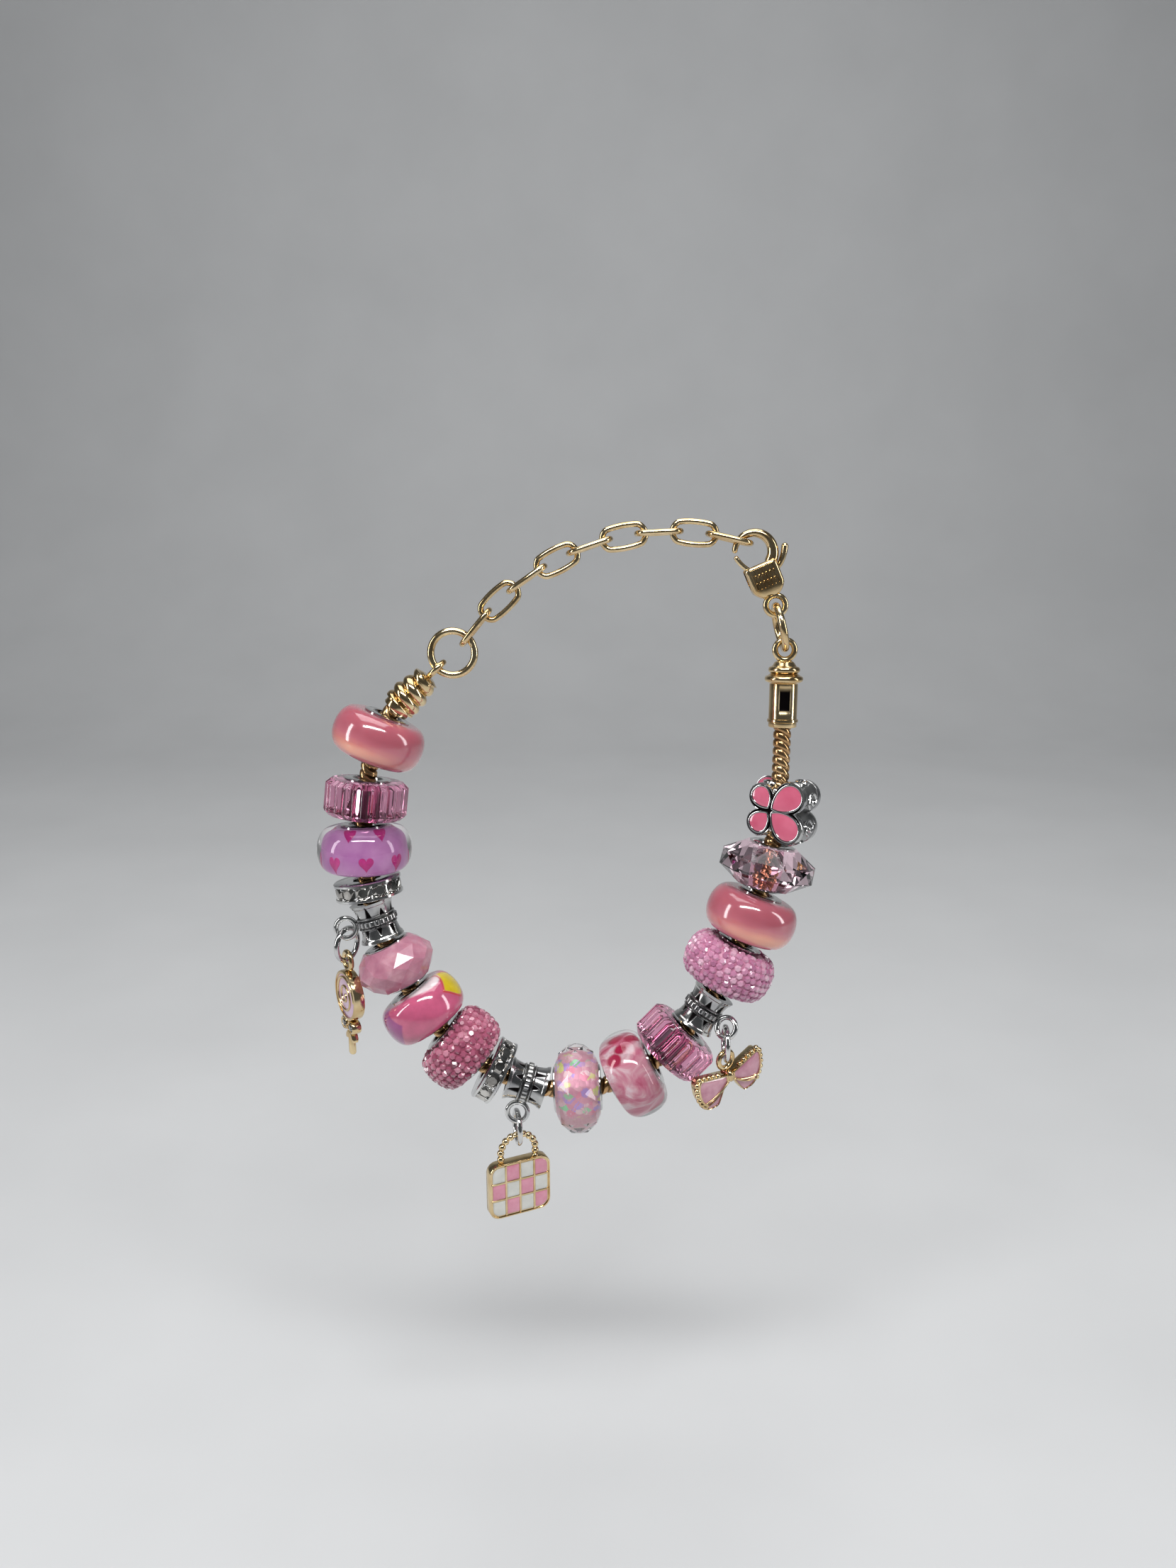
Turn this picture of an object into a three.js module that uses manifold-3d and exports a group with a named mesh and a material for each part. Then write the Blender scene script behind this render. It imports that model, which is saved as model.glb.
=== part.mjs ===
// A charm bracelet: beads on a snake chain, three charms on bails, a lobster clasp and an extender.
// Millimetres, +Z up, the wearer's front along -Y. The origin is where the middle link of the extender hangs.
import * as THREE from "three";
import { mergeVertices } from "three/addons/utils/BufferGeometryUtils.js";
import Module from "manifold-3d";

const wasm = await Module();
wasm.setup();

// Clearances between pieces
const gap = 0.3; // between pieces that touch on the real bracelet
const beadGap = 0.35; // between the rims of neighbouring beads, where they come closest

// Snake chain and the cores that slide on it
const chainRadius = 1.35;
const chainSides = 8;
const chainSteps = 64;
const coreBore = 2.2; // inside radius of a bead's silver core
const coreWall = 0.4;
const rimRadius = 3.5; // flared rim of the core, outside the bead
const rimThickness = 0.5;
const beadBore = coreBore + coreWall + gap;
const roundSides = 12;

// The loop leans back as it hangs, and the charms under it hang plumb
const lean = THREE.MathUtils.degToRad(8);

// The snake chain's route in the loop's own plane: across, and up
const chainRoute = [
  [-26.6, 13.2],
  [-29.9, 10.0],
  [-32.2, 4.8],
  [-33.4, -2.8],
  [-33.8, -10.8],
  [-32.6, -19.2],
  [-29.4, -27.8],
  [-24.4, -36.0],
  [-17.4, -42.8],
  [-8.8, -47.0],
  [0.2, -47.6],
  [8.2, -44.6],
  [14.4, -39.2],
  [19.0, -32.8],
  [22.6, -25.6],
  [25.6, -18.2],
  [27.6, -10.4],
  [28.6, -3.0],
  [28.9, 4.4],
  [29.0, 11.6],
];

// Width across the chain and length along it of each piece that is strung
const beadSize = {
  catEye: { width: 14, length: 7.6 },
  fluted: { width: 12.4, length: 6.2 },
  heart: { width: 14.2, length: 7.6 },
  spacer: { width: 10.2, length: 2.8 },
  bail: { width: 6.6, length: 6 },
  opal: { width: 12.2, length: 7.2 },
  painted: { width: 13, length: 7.2 },
  sugarDeep: { width: 13.4, length: 7.8 },
  glitter: { width: 13.8, length: 7.4 },
  blossom: { width: 13.6, length: 7.4 },
  sugarPale: { width: 14.2, length: 8 },
  crystal: { width: 14.4, length: 7 },
  butterfly: { width: 10, length: 9 },
};
const looseChain = 1.2; // bare chain showing between the first two beads

// Wires of the rings
const bailLoop = { radius: 1.55, wire: 0.4 };
const charmRing = { radius: 2.5, wire: 0.42 };
const charmEye = { radius: 1.35, wire: 0.42 };
const endRing = { radius: 3.25, wire: 0.55 };
const endEye = { radius: 1.45, wire: 0.45 };
const link = { half: 3.2, halfWidth: 1.65, wire: 0.45 };
const extenderSlack = 1.06; // chain length over the straight distance that it spans

// End caps, from the mouth to the eye
const cap = {
  wall: 0.45,
  seat: 3,
  neck: 1.6,
  crown: 0.5,
  ridgePitch: 1.35,
  ridgeRise: 0.25,
  ridgeFlat: 0.65,
  ridgeDepth: 0.6,
};
const leftCap = { tube: 1.2, ridges: [2.7, 2.75, 2.5, 2.2] };
const rightCap = { tube: 6.6, ridges: [2.85, 2.35] };
const firstBeadAt = 4.2; // from the chain's end to the first bead

// Lobster clasp, from the centre of its eye; its axis leans left
const claspAxis = THREE.MathUtils.degToRad(23.5);
const rightRingTurn = THREE.MathUtils.degToRad(13);
const extenderPull = THREE.MathUtils.degToRad(14); // from the clasp's axis to the extender's pull on the hook
const clasp = {
  thickness: 3,
  bodyBottom: 1.4,
  bodyTop: 6.4,
  bodyHalf: 2.5,
  footHalf: 1.5,
  hookCentre: 8.3,
  hookRadius: 2.8,
  hookBand: 1.2,
  hookThickness: 1.7,
  hookFrom: -48,
  hookTo: 152,
  pivotAcross: 0.3,
  pivotUp: 4.3,
  pinRadius: 0.45,
  leverThickness: 0.8,
  leverBand: 0.85,
  bossRadius: 1.05,
  thumbOut: 2.1,
  thumbUp: 3.1,
};

// Charms
const purse = {
  width: 10.2,
  height: 9.4,
  thickness: 1.8,
  corner: 1.6,
  handleRadius: 2.9,
  handleWire: 0.5,
  handleLeg: 1.4,
};
const lollipop = {
  radius: 4,
  thickness: 1.8,
  stickWidth: 1.3,
  stickThickness: 1.2,
  stick: 6.4,
  knot: 1.25,
  knotThickness: 1.5,
  bury: 0.4,
};
const bow = { span: 6.9, height: 3.7, thickness: 2, knot: 1.1, tail: 2.6 };
const charmTurn = {
  purse: THREE.MathUtils.degToRad(25),
  lollipop: THREE.MathUtils.degToRad(-58),
  bow: THREE.MathUtils.degToRad(36),
};
const bowRoll = THREE.MathUtils.degToRad(10);

// How far each bail has swung round the chain, from outwards towards the front
const bailSwing = {
  left: THREE.MathUtils.degToRad(0),
  bottom: THREE.MathUtils.degToRad(0),
  right: THREE.MathUtils.degToRad(38),
};
const butterfly = { wing: 5.1, depth: 6, swing: THREE.MathUtils.degToRad(32) };

const gold = new THREE.MeshStandardMaterial({ color: 0xc9a667, roughness: 0.22, metalness: 1 });
const silver = new THREE.MeshStandardMaterial({ color: 0xd4d4d2, roughness: 0.2, metalness: 1 });
const glassOf = (color) => new THREE.MeshStandardMaterial({ color, roughness: 0.12, metalness: 0 });

// Only positions are kept, with shared corners, as a closed solid needs
function bare(geometry) {
  const positions = new THREE.BufferGeometry();
  const source = geometry.index ? geometry.toNonIndexed() : geometry;
  positions.setAttribute("position", source.getAttribute("position"));
  return mergeVertices(positions, 1e-4);
}

function solidOf(geometry) {
  const merged = bare(geometry);
  return new wasm.Manifold(
    new wasm.Mesh({
      numProp: 3,
      vertProperties: merged.getAttribute("position").array,
      triVerts: new Uint32Array(merged.index.array),
    }),
  );
}

function geometryOf(solid) {
  const mesh = solid.getMesh();
  const geometry = new THREE.BufferGeometry();
  geometry.setAttribute("position", new THREE.BufferAttribute(mesh.vertProperties, 3));
  geometry.setIndex(new THREE.BufferAttribute(mesh.triVerts, 1));
  return geometry;
}

function fuse(...geometries) {
  return geometryOf(geometries.map(solidOf).reduce((whole, piece) => whole.add(piece)));
}

function cut(geometry, ...tools) {
  return geometryOf(tools.map(solidOf).reduce((whole, tool) => whole.subtract(tool), solidOf(geometry)));
}

function mesh(name, geometry, material) {
  const made = new THREE.Mesh(geometry, material);
  made.name = name;
  return made;
}

// A solid turned about Y from [radius, height] pairs that run round the section counter-clockwise
function turned(section, sides = roundSides) {
  const points = section.map(([radius, height]) => new THREE.Vector2(radius, height));
  return new THREE.LatheGeometry([...points, points[0].clone()], sides);
}

// A plate with its outline in X and Y and its thickness centred on Z
function plate(shape, thickness, curveSegments = 6) {
  const options = { depth: thickness, bevelEnabled: false, curveSegments };
  return new THREE.ExtrudeGeometry(shape, options).translate(0, 0, -thickness / 2);
}

// A round ring in the XY plane, about the origin
function ring({ radius, wire }, around = 12, sides = 6) {
  return new THREE.TorusGeometry(radius, wire, sides, around);
}

// An oval link in the XY plane, its length along Y
function ovalLink({ half, halfWidth, wire }) {
  const oval = ring({ radius: halfWidth, wire });
  const position = oval.getAttribute("position");
  const stretch = half - halfWidth;
  for (let i = 0; i < position.count; i++) {
    const y = position.getY(i);
    position.setY(i, y + stretch * THREE.MathUtils.clamp(y / (0.5 * halfWidth), -1, 1));
  }
  return oval;
}

// The hollow silver tube with a flared rim at each end that lines a bead
function core(length) {
  const end = length / 2;
  const outer = coreBore + coreWall;
  return turned([
    [coreBore, -end],
    [rimRadius, -end],
    [rimRadius, -end + rimThickness],
    [outer, -end + rimThickness],
    [outer, end - rimThickness],
    [rimRadius, end - rimThickness],
    [rimRadius, end],
    [coreBore, end],
  ]);
}

// Glass between the core's rims: its outline is a rounded swell from a flat end
function swell(width, length, fullness, steps = 7) {
  const end = length / 2 - rimThickness - gap;
  const shoulder = rimRadius + 0.2;
  const outline = [];
  for (let i = 0; i <= steps; i++) {
    const angle = Math.PI * (i / steps - 0.5);
    const reach = Math.cos(angle) ** fullness;
    outline.push([shoulder + (width / 2 - shoulder) * reach, end * Math.sin(angle)]);
  }
  return [[beadBore, -end], ...outline, [beadBore, end]];
}

const roundBead = ({ width, length }) => turned(swell(width, length, 0.8), 14);
const sugarBead = ({ width, length }) => turned(swell(width, length, 0.7), 14);
const facetedBead = ({ width, length }) => turned(swell(width, length, 0.9, 4), 10);

// A short drum with flutes along it: every second corner is drawn in
function flutedBead({ width, length }) {
  const end = length / 2 - rimThickness - gap;
  const flutes = 12;
  const depth = 0.5;
  const outline = new THREE.Shape();
  for (let i = 0; i < 2 * flutes; i++) {
    const radius = width / 2 - (i % 2) * depth;
    const angle = (Math.PI * i) / flutes;
    const [x, y] = [radius * Math.cos(angle), radius * Math.sin(angle)];
    if (i) outline.lineTo(x, y);
    else outline.moveTo(x, y);
  }
  outline.holes.push(new THREE.Path().absarc(0, 0, beadBore, 0, 2 * Math.PI, true));
  return plate(outline, 2 * end, roundSides / 2).rotateX(Math.PI / 2);
}

// A crystal rondelle: a wide girdle between two cones of flat facets
function crystalBead({ width, length }) {
  const end = length / 2 - rimThickness - gap;
  const girdle = 0.22 * length;
  return turned(
    [
      [beadBore, -end],
      [rimRadius + 0.6, -end],
      [width / 2, -girdle],
      [width / 2, girdle],
      [rimRadius + 0.6, end],
      [beadBore, end],
    ],
    10,
  );
}

// A spacer: two rims with a band of set stones between them
function stoneSpacer({ width, length }) {
  const end = length / 2;
  const rim = 0.45;
  const band = width / 2 - 0.35;
  return turned(
    [
      [coreBore, -end],
      [width / 2, -end],
      [width / 2, -end + rim],
      [band, -end + rim],
      [band, end - rim],
      [width / 2, end - rim],
      [width / 2, end],
      [coreBore, end],
    ],
    16,
  );
}

// How far a ring's centre lies from the centre of the hole that it hangs in, towards the pull
const droop = (hole, wire) => hole.radius - hole.wire - gap - wire;

// A waisted tube with a milled belt and a loop on its outer side, for a charm
const bailBelt = 3.25;
const loopOffset = bailBelt + bailLoop.radius + bailLoop.wire - 0.3;
function bail({ width, length }) {
  const end = length / 2;
  const waist = 2.75;
  const belt = 0.55;
  const tube = turned([
    [coreBore, -end],
    [width / 2, -end],
    [width / 2, -end + 0.5],
    [waist, -belt - 0.2],
    [bailBelt, -belt],
    [bailBelt, belt],
    [waist, belt + 0.2],
    [width / 2, end - 0.5],
    [width / 2, end],
    [coreBore, end],
  ]);
  return fuse(tube, ring(bailLoop).translate(loopOffset, 0, 0));
}

// Four wings round a body, the large pair outwards, as one thick plate with the chain's bore through it
function butterflyBead({ width, length }) {
  const scale = width / 10;
  const tall = length / 2;
  const wings = [
    [0.6, 0.5, 0.5],
    [-0.3, 0.44, 0.4],
  ];
  const centre = new THREE.BoxGeometry(2 * coreBore + 1.6, length, butterfly.depth);
  const lobes = wings.flatMap(([across, up, reach]) =>
    [-1, 1].map((side) => {
      const radius = reach * butterfly.wing;
      const lobe = new THREE.CylinderGeometry(radius, radius, butterfly.depth, 12);
      lobe.rotateX(Math.PI / 2).scale(scale, (2 * tall) / 9.4, 1);
      return lobe.translate(across * butterfly.wing * scale, side * up * tall, 0);
    }),
  );
  const trimmed = solidOf(fuse(centre, ...lobes)).intersect(solidOf(new THREE.BoxGeometry(40, length, 40)));
  const bore = new THREE.CylinderGeometry(coreBore, coreBore, 2 * length, roundSides);
  return cut(geometryOf(trimmed), bore);
}

// An end cap: a tube over the chain's end, ridges, and an eye; its mouth is at Y = 0 and it rises to the eye
const capBore = chainRadius + gap;
const capTop = ({ tube, ridges }) => tube + ridges.length * cap.ridgePitch + cap.crown;
const eyeHeight = (kind) => capTop(kind) + endEye.radius + endEye.wire - cap.crown / 2;
function endCap(kind) {
  const wall = capBore + cap.wall;
  const section = [
    [capBore, 0],
    [wall, 0],
    [wall, kind.tube],
  ];
  kind.ridges.forEach((radius, i) => {
    const base = kind.tube + i * cap.ridgePitch;
    section.push([radius, base + cap.ridgeRise]);
    section.push([radius, base + cap.ridgeRise + cap.ridgeFlat]);
    section.push([radius - cap.ridgeDepth, base + cap.ridgePitch]);
  });
  section.push([cap.neck, capTop(kind)]);
  section.push([0, capTop(kind)]);
  section.push([0, cap.seat + gap]);
  section.push([capBore, cap.seat + gap]);
  const eye = ring(endEye).translate(0, eyeHeight(kind), 0);
  return [turned(section), eye];
}

// Axes for a piece on the loop: Y along it, X outwards, Z towards the front
function placed(object, at, along) {
  const outwards = new THREE.Vector3(along.z, 0, -along.x);
  const across = new THREE.Vector3().crossVectors(outwards, along);
  const basis = new THREE.Matrix4().makeBasis(outwards, along, across);
  object.quaternion.setFromRotationMatrix(basis);
  object.position.copy(at);
  return object;
}

const inPlane = (across, up) => new THREE.Vector3(across, 0, up);
const turnedBy = (vector, angle) => vector.clone().applyAxisAngle(new THREE.Vector3(0, -1, 0), angle);

// Share of the full droop that a charm's ring takes, because it crosses its bail's loop askew
const askewDroop = 0.3;

// A charm's ring and its charm hang plumb from a hole at the given place; a charm's eye is at its own origin
function hangingCharm(name, at, loopTurn, charmGeometry, turn, material) {
  const hanging = new THREE.Group();
  hanging.position.copy(at);
  hanging.rotation.x = lean;
  const ringDrop = askewDroop * droop(bailLoop, charmRing.wire) + charmRing.radius;
  const ringMesh = mesh(name + "_ring", ring(charmRing).rotateY(Math.PI / 2), silver);
  ringMesh.position.z = -ringDrop;
  ringMesh.rotation.z = (loopTurn + turn) / 2;
  const charm = mesh(name, charmGeometry.rotateX(Math.PI / 2), material);
  charm.position.z = -ringDrop - charmRing.radius - droop(charmEye, charmRing.wire);
  charm.rotation.z = turn;
  hanging.add(ringMesh, charm);
  return hanging;
}

function roundedRectangle(width, height, corner) {
  const [w, h] = [width / 2, height / 2];
  const shape = new THREE.Shape();
  shape.moveTo(w - corner, -h);
  shape.absarc(w - corner, -h + corner, corner, -Math.PI / 2, 0);
  shape.absarc(w - corner, h - corner, corner, 0, Math.PI / 2);
  shape.absarc(-w + corner, h - corner, corner, Math.PI / 2, Math.PI);
  shape.absarc(-w + corner, -h + corner, corner, Math.PI, 1.5 * Math.PI);
  return shape;
}

// A flat handbag under an arched handle; its ring passes under the arch
function purseCharm() {
  const archTop = charmEye.radius - charmEye.wire + purse.handleWire;
  const archMiddle = archTop - purse.handleRadius;
  const top = archMiddle - purse.handleLeg;
  const body = plate(roundedRectangle(purse.width, purse.height, purse.corner), purse.thickness, 3);
  body.translate(0, top - purse.height / 2, 0);
  const whole = ring({ radius: purse.handleRadius, wire: purse.handleWire }, 20);
  const lower = new THREE.BoxGeometry(4 * purse.handleRadius, 2 * purse.handleRadius, 4 * purse.handleWire);
  lower.translate(0, -purse.handleRadius, 0);
  const arch = cut(whole, lower).translate(0, archMiddle, 0);
  const legs = [-1, 1].map((side) => {
    const leg = new THREE.CylinderGeometry(purse.handleWire, purse.handleWire, purse.handleLeg + 0.4, 6);
    return leg.translate(side * purse.handleRadius, archMiddle - purse.handleLeg / 2, 0);
  });
  return fuse(body, arch, ...legs);
}

// A round sweet on a stick tied with a small bow
function lollipopCharm() {
  const top = -charmEye.radius - charmEye.wire + 0.1;
  const middle = top - lollipop.radius;
  const disc = new THREE.CylinderGeometry(lollipop.radius, lollipop.radius, lollipop.thickness, 20);
  disc.rotateX(Math.PI / 2).translate(0, middle, 0);
  const stickTop = middle - lollipop.radius + lollipop.bury;
  const stick = new THREE.BoxGeometry(lollipop.stickWidth, lollipop.stick, lollipop.stickThickness);
  stick.translate(0, stickTop - lollipop.stick / 2, 0);
  const knots = [-1, 1].map((side) => {
    const loop = new THREE.CylinderGeometry(lollipop.knot, lollipop.knot, lollipop.knotThickness, 10);
    loop.rotateX(Math.PI / 2);
    return loop.translate(side * 0.96 * lollipop.knot, stickTop - 1.2 * lollipop.knot, 0);
  });
  return fuse(ring(charmEye), disc, stick, ...knots);
}

// A ribbon bow: two flared loops, two tails and a knot
function bowCharm() {
  const middle = -charmEye.radius - charmEye.wire - bow.knot + 0.2;
  const wing = (side) => {
    const shape = new THREE.Shape();
    shape.moveTo(0, -bow.knot * 0.6);
    shape.lineTo(side * bow.span * 0.8, -bow.height * 0.95);
    shape.quadraticCurveTo(side * bow.span * 1.06, 0, side * bow.span * 0.86, bow.height * 0.62);
    shape.quadraticCurveTo(side * bow.span * 0.38, bow.height * 0.2, 0, bow.knot * 0.6);
    return plate(shape, bow.thickness, 4);
  };
  const tail = (side) => {
    const shape = new THREE.Shape();
    shape.moveTo(side * 0.2, -0.3);
    shape.lineTo(side * bow.span * 0.42, -bow.tail - 1.9);
    shape.lineTo(side * bow.span * 0.8, -bow.tail - 0.6);
    shape.lineTo(side * bow.span * 0.5, 0);
    return plate(shape, bow.thickness * 0.7, 1);
  };
  const knot = new THREE.CylinderGeometry(bow.knot, bow.knot, bow.thickness + 0.6, 10).rotateX(Math.PI / 2);
  const pieces = [wing(-1), wing(1), tail(-1), tail(1), knot];
  return fuse(ring(charmEye), ...pieces.map((piece) => piece.translate(0, middle, 0))).rotateZ(bowRoll);
}

// A band of the given width along an arc, as an outline
function arcBand(radius, band, fromDegrees, toDegrees) {
  const [from, to] = [fromDegrees, toDegrees].map(THREE.MathUtils.degToRad);
  const shape = new THREE.Shape();
  shape.absarc(0, 0, radius + band / 2, from, to, false);
  shape.absarc(0, 0, radius - band / 2, to, from, true);
  return shape;
}

// A flat bar between points, mitred at its bends, as an outline
function bar(points, width) {
  const left = [];
  const right = [];
  points.forEach(([x, y], i) => {
    const before = points[Math.max(i - 1, 0)];
    const after = points[Math.min(i + 1, points.length - 1)];
    const run = new THREE.Vector2(after[0] - before[0], after[1] - before[1]).normalize();
    left.push(new THREE.Vector2(x - (run.y * width) / 2, y + (run.x * width) / 2));
    right.push(new THREE.Vector2(x + (run.y * width) / 2, y - (run.x * width) / 2));
  });
  return new THREE.Shape([...right, ...left.reverse()]);
}

// The clasp's body in X and Y, its eye at the origin: a hollow case, a hook over it and a rivet for the lever
function claspBody() {
  const { bodyBottom, bodyTop, bodyHalf, footHalf, thickness, pivotAcross, pivotUp } = clasp;
  const outline = new THREE.Shape();
  outline.moveTo(-footHalf, bodyBottom);
  outline.lineTo(footHalf, bodyBottom);
  outline.lineTo(bodyHalf, bodyBottom + 1.1);
  outline.lineTo(bodyHalf, bodyTop);
  outline.lineTo(-bodyHalf, bodyTop);
  outline.lineTo(-bodyHalf, bodyBottom + 1.1);
  const slotWidth = clasp.leverThickness + 2 * gap;
  const slotBottom = pivotUp - clasp.leverBand / 2 - 1;
  const slot = new THREE.BoxGeometry(4 * bodyHalf, bodyTop - slotBottom + 1, slotWidth);
  slot.translate(0, (bodyTop + slotBottom + 1) / 2, 0);
  const shell = cut(plate(outline, thickness), slot);
  const hook = plate(
    arcBand(clasp.hookRadius, clasp.hookBand, clasp.hookFrom, clasp.hookTo),
    clasp.hookThickness,
    14,
  ).translate(0, clasp.hookCentre, 0);
  const pin = new THREE.CylinderGeometry(clasp.pinRadius, clasp.pinRadius, thickness + 0.3, 10);
  pin.rotateX(Math.PI / 2).translate(pivotAcross, pivotUp, 0);
  return fuse(shell, hook, pin, ring(endEye).translate(0, -0.1, 0));
}

// The lever, about its own pivot: a gate that closes the hook, and a thumb piece on the far side
function claspLever() {
  const hookEnd = THREE.MathUtils.degToRad(clasp.hookTo);
  const tip = [
    clasp.hookRadius * Math.cos(hookEnd) - clasp.pivotAcross,
    clasp.hookRadius * Math.sin(hookEnd) + clasp.hookCentre - clasp.pivotUp,
  ];
  const gate = [
    [0, 0],
    [tip[0] * 0.85, tip[1] * 0.45],
    [tip[0] * 1.08, tip[1] - gap - clasp.hookBand / 2],
  ];
  const thumb = [
    [0, 0],
    [clasp.bodyHalf - clasp.pivotAcross + gap, 0.24 * clasp.thumbUp],
    [clasp.bodyHalf - clasp.pivotAcross + clasp.thumbOut, clasp.thumbUp],
  ];
  const { bossRadius, leverThickness } = clasp;
  const boss = new THREE.CylinderGeometry(bossRadius, bossRadius, leverThickness, 12).rotateX(Math.PI / 2);
  const arms = [gate, thumb].map((points) => plate(bar(points, clasp.leverBand), clasp.leverThickness));
  const hole = new THREE.CylinderGeometry(
    clasp.pinRadius + gap,
    clasp.pinRadius + gap,
    2 * clasp.leverThickness,
    10,
  ).rotateX(Math.PI / 2);
  return cut(fuse(boss, ...arms), hole);
}

// Pieces in the order in which they are strung, from the left end
const stringing = [
  { name: "cat_eye_bead_left", make: roundBead, ...beadSize.catEye, color: 0xd9808c },
  { name: "fluted_bead_left", make: flutedBead, ...beadSize.fluted, color: 0xd98fb0, before: looseChain },
  { name: "heart_bead", make: roundBead, ...beadSize.heart, color: 0xcf8fc4 },
  { name: "stone_spacer_left", make: stoneSpacer, ...beadSize.spacer, silver: true },
  { name: "bail_left", make: bail, ...beadSize.bail, silver: true, swing: bailSwing.left },
  { name: "opal_bead", make: facetedBead, ...beadSize.opal, color: 0xd99bb0 },
  { name: "painted_bead", make: roundBead, ...beadSize.painted, color: 0xdd6f92 },
  { name: "sugar_bead_left", make: sugarBead, ...beadSize.sugarDeep, color: 0xcc7f98 },
  { name: "stone_spacer_bottom", make: stoneSpacer, ...beadSize.spacer, silver: true },
  { name: "bail_bottom", make: bail, ...beadSize.bail, silver: true, swing: bailSwing.bottom },
  { name: "glitter_bead", make: facetedBead, ...beadSize.glitter, color: 0xe3b4c0 },
  { name: "blossom_bead", make: roundBead, ...beadSize.blossom, color: 0xdd8fa6 },
  { name: "fluted_bead_right", make: flutedBead, ...beadSize.fluted, color: 0xd98fb0 },
  { name: "bail_right", make: bail, ...beadSize.bail, silver: true, swing: bailSwing.right },
  { name: "sugar_bead_right", make: sugarBead, ...beadSize.sugarPale, color: 0xdd9fba },
  { name: "cat_eye_bead_right", make: roundBead, ...beadSize.catEye, color: 0xd9808c },
  { name: "crystal_bead", make: crystalBead, ...beadSize.crystal, color: 0xe0a8c0 },
  {
    name: "butterfly_bead",
    make: butterflyBead,
    ...beadSize.butterfly,
    silver: true,
    swing: butterfly.swing,
  },
];

const charms = {
  bail_left: ["lollipop_charm", lollipopCharm, charmTurn.lollipop],
  bail_bottom: ["purse_charm", purseCharm, charmTurn.purse],
  bail_right: ["bow_charm", bowCharm, charmTurn.bow],
};

const loop = new THREE.Group();
const routePoints = chainRoute.map(([across, up]) => inPlane(across, up));
const chainCurve = new THREE.CatmullRomCurve3(routePoints, false, "centripetal");
chainCurve.arcLengthDivisions = 800;
const chainLength = chainCurve.getLength();

// The snake chain, a many-sided tube along its route
function snakeChain() {
  const section = new THREE.Shape();
  section.absarc(0, 0, chainRadius, 0, 2 * Math.PI);
  const options = { steps: chainSteps, extrudePath: chainCurve, curveSegments: chainSides / 2 };
  return mesh("snake_chain", new THREE.ExtrudeGeometry(section, options), gold);
}
loop.add(snakeChain());

// Beads, spacers and bails, each at the middle of its own stretch of chain
const pointAt = (reach) => chainCurve.getPointAt(reach / chainLength);
const directionOf = (piece, reach) => pointAt(reach + piece.length).sub(pointAt(reach)).normalize();
const endRadius = (piece) => (piece.silver ? piece.width / 2 : rimRadius);
let reached = firstBeadAt;
let last = null;
for (const piece of stringing) {
  if (last) {
    const bend = directionOf(last, reached - last.length).angleTo(directionOf(piece, reached + beadGap));
    reached += beadGap + bend * Math.min(endRadius(last), endRadius(piece)) + (piece.before ?? 0);
  }
  last = piece;
  const along = directionOf(piece, reached);
  const chordMiddle = pointAt(reached).add(pointAt(reached + piece.length)).multiplyScalar(0.5);
  const middle = chordMiddle.lerp(pointAt(reached + piece.length / 2), 0.5);
  const material = piece.silver ? silver : glassOf(piece.color);
  const body = mesh(piece.name, piece.make(piece).rotateY(-(piece.swing ?? 0)), material);
  loop.add(placed(body, middle, along));
  if (!piece.silver) loop.add(placed(mesh(piece.name + "_core", core(piece.length), silver), middle, along));
  if (charms[piece.name]) {
    const [charmName, makeCharm, turn] = charms[piece.name];
    const swung = new THREE.Vector3(along.z, 0, -along.x).multiplyScalar(Math.cos(piece.swing));
    swung.y = -Math.sin(piece.swing);
    const loopFace = new THREE.Vector3().crossVectors(swung, along);
    const hole = middle.clone().addScaledVector(swung, loopOffset);
    loop.add(hangingCharm(charmName, hole, Math.atan2(loopFace.x, -loopFace.y), makeCharm(), turn, gold));
  }
  reached += piece.length;
}

// End caps on the chain's two ends
const leftUp = chainCurve.getTangentAt(0).negate();
const rightUp = chainCurve.getTangentAt(1);
const capMouth = (end, upwards) => end.clone().addScaledVector(upwards, -cap.seat);
const leftMouth = capMouth(chainCurve.getPointAt(0), leftUp);
const rightMouth = capMouth(chainCurve.getPointAt(1), rightUp);
const [leftTube, leftEye] = endCap(leftCap);
const [rightTube, rightEye] = endCap(rightCap);
leftEye.rotateY(Math.PI / 2);
loop.add(placed(mesh("end_cap_left", fuse(leftTube, leftEye), gold), leftMouth, leftUp));
loop.add(placed(mesh("end_cap_right", fuse(rightTube, rightEye), gold), rightMouth, rightUp));

// Rings at the two ends: the left one lies in the loop's plane and the right one stands across it
const ringReach = droop(endEye, endRing.wire) + endRing.radius;
const leftRingCentre = leftMouth.clone().addScaledVector(leftUp, eyeHeight(leftCap) + ringReach);
loop.add(placed(mesh("jump_ring_left", ring(endRing), gold), leftRingCentre, leftUp));
const ringAxis = turnedBy(inPlane(0, 1), rightRingTurn);
const rightEyeCentre = rightMouth.clone().addScaledVector(rightUp, eyeHeight(rightCap));
const rightRingCentre = rightEyeCentre.clone().addScaledVector(ringAxis, ringReach);
const rightRing = mesh("jump_ring_right", ring(endRing).rotateY(Math.PI / 2), gold);
loop.add(placed(rightRing, rightRingCentre, ringAxis));

// Lobster clasp: its lever turns on the rivet through the case
const claspUp = turnedBy(inPlane(0, 1), claspAxis);
const claspEye = rightRingCentre.clone().addScaledVector(ringAxis, ringReach);
const claspGroup = placed(new THREE.Group(), claspEye, claspUp);
const lever = mesh("clasp_lever", claspLever(), gold);
lever.position.set(clasp.pivotAcross, clasp.pivotUp, 0);
claspGroup.add(mesh("clasp_body", claspBody(), gold), lever);
loop.add(claspGroup);

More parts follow.
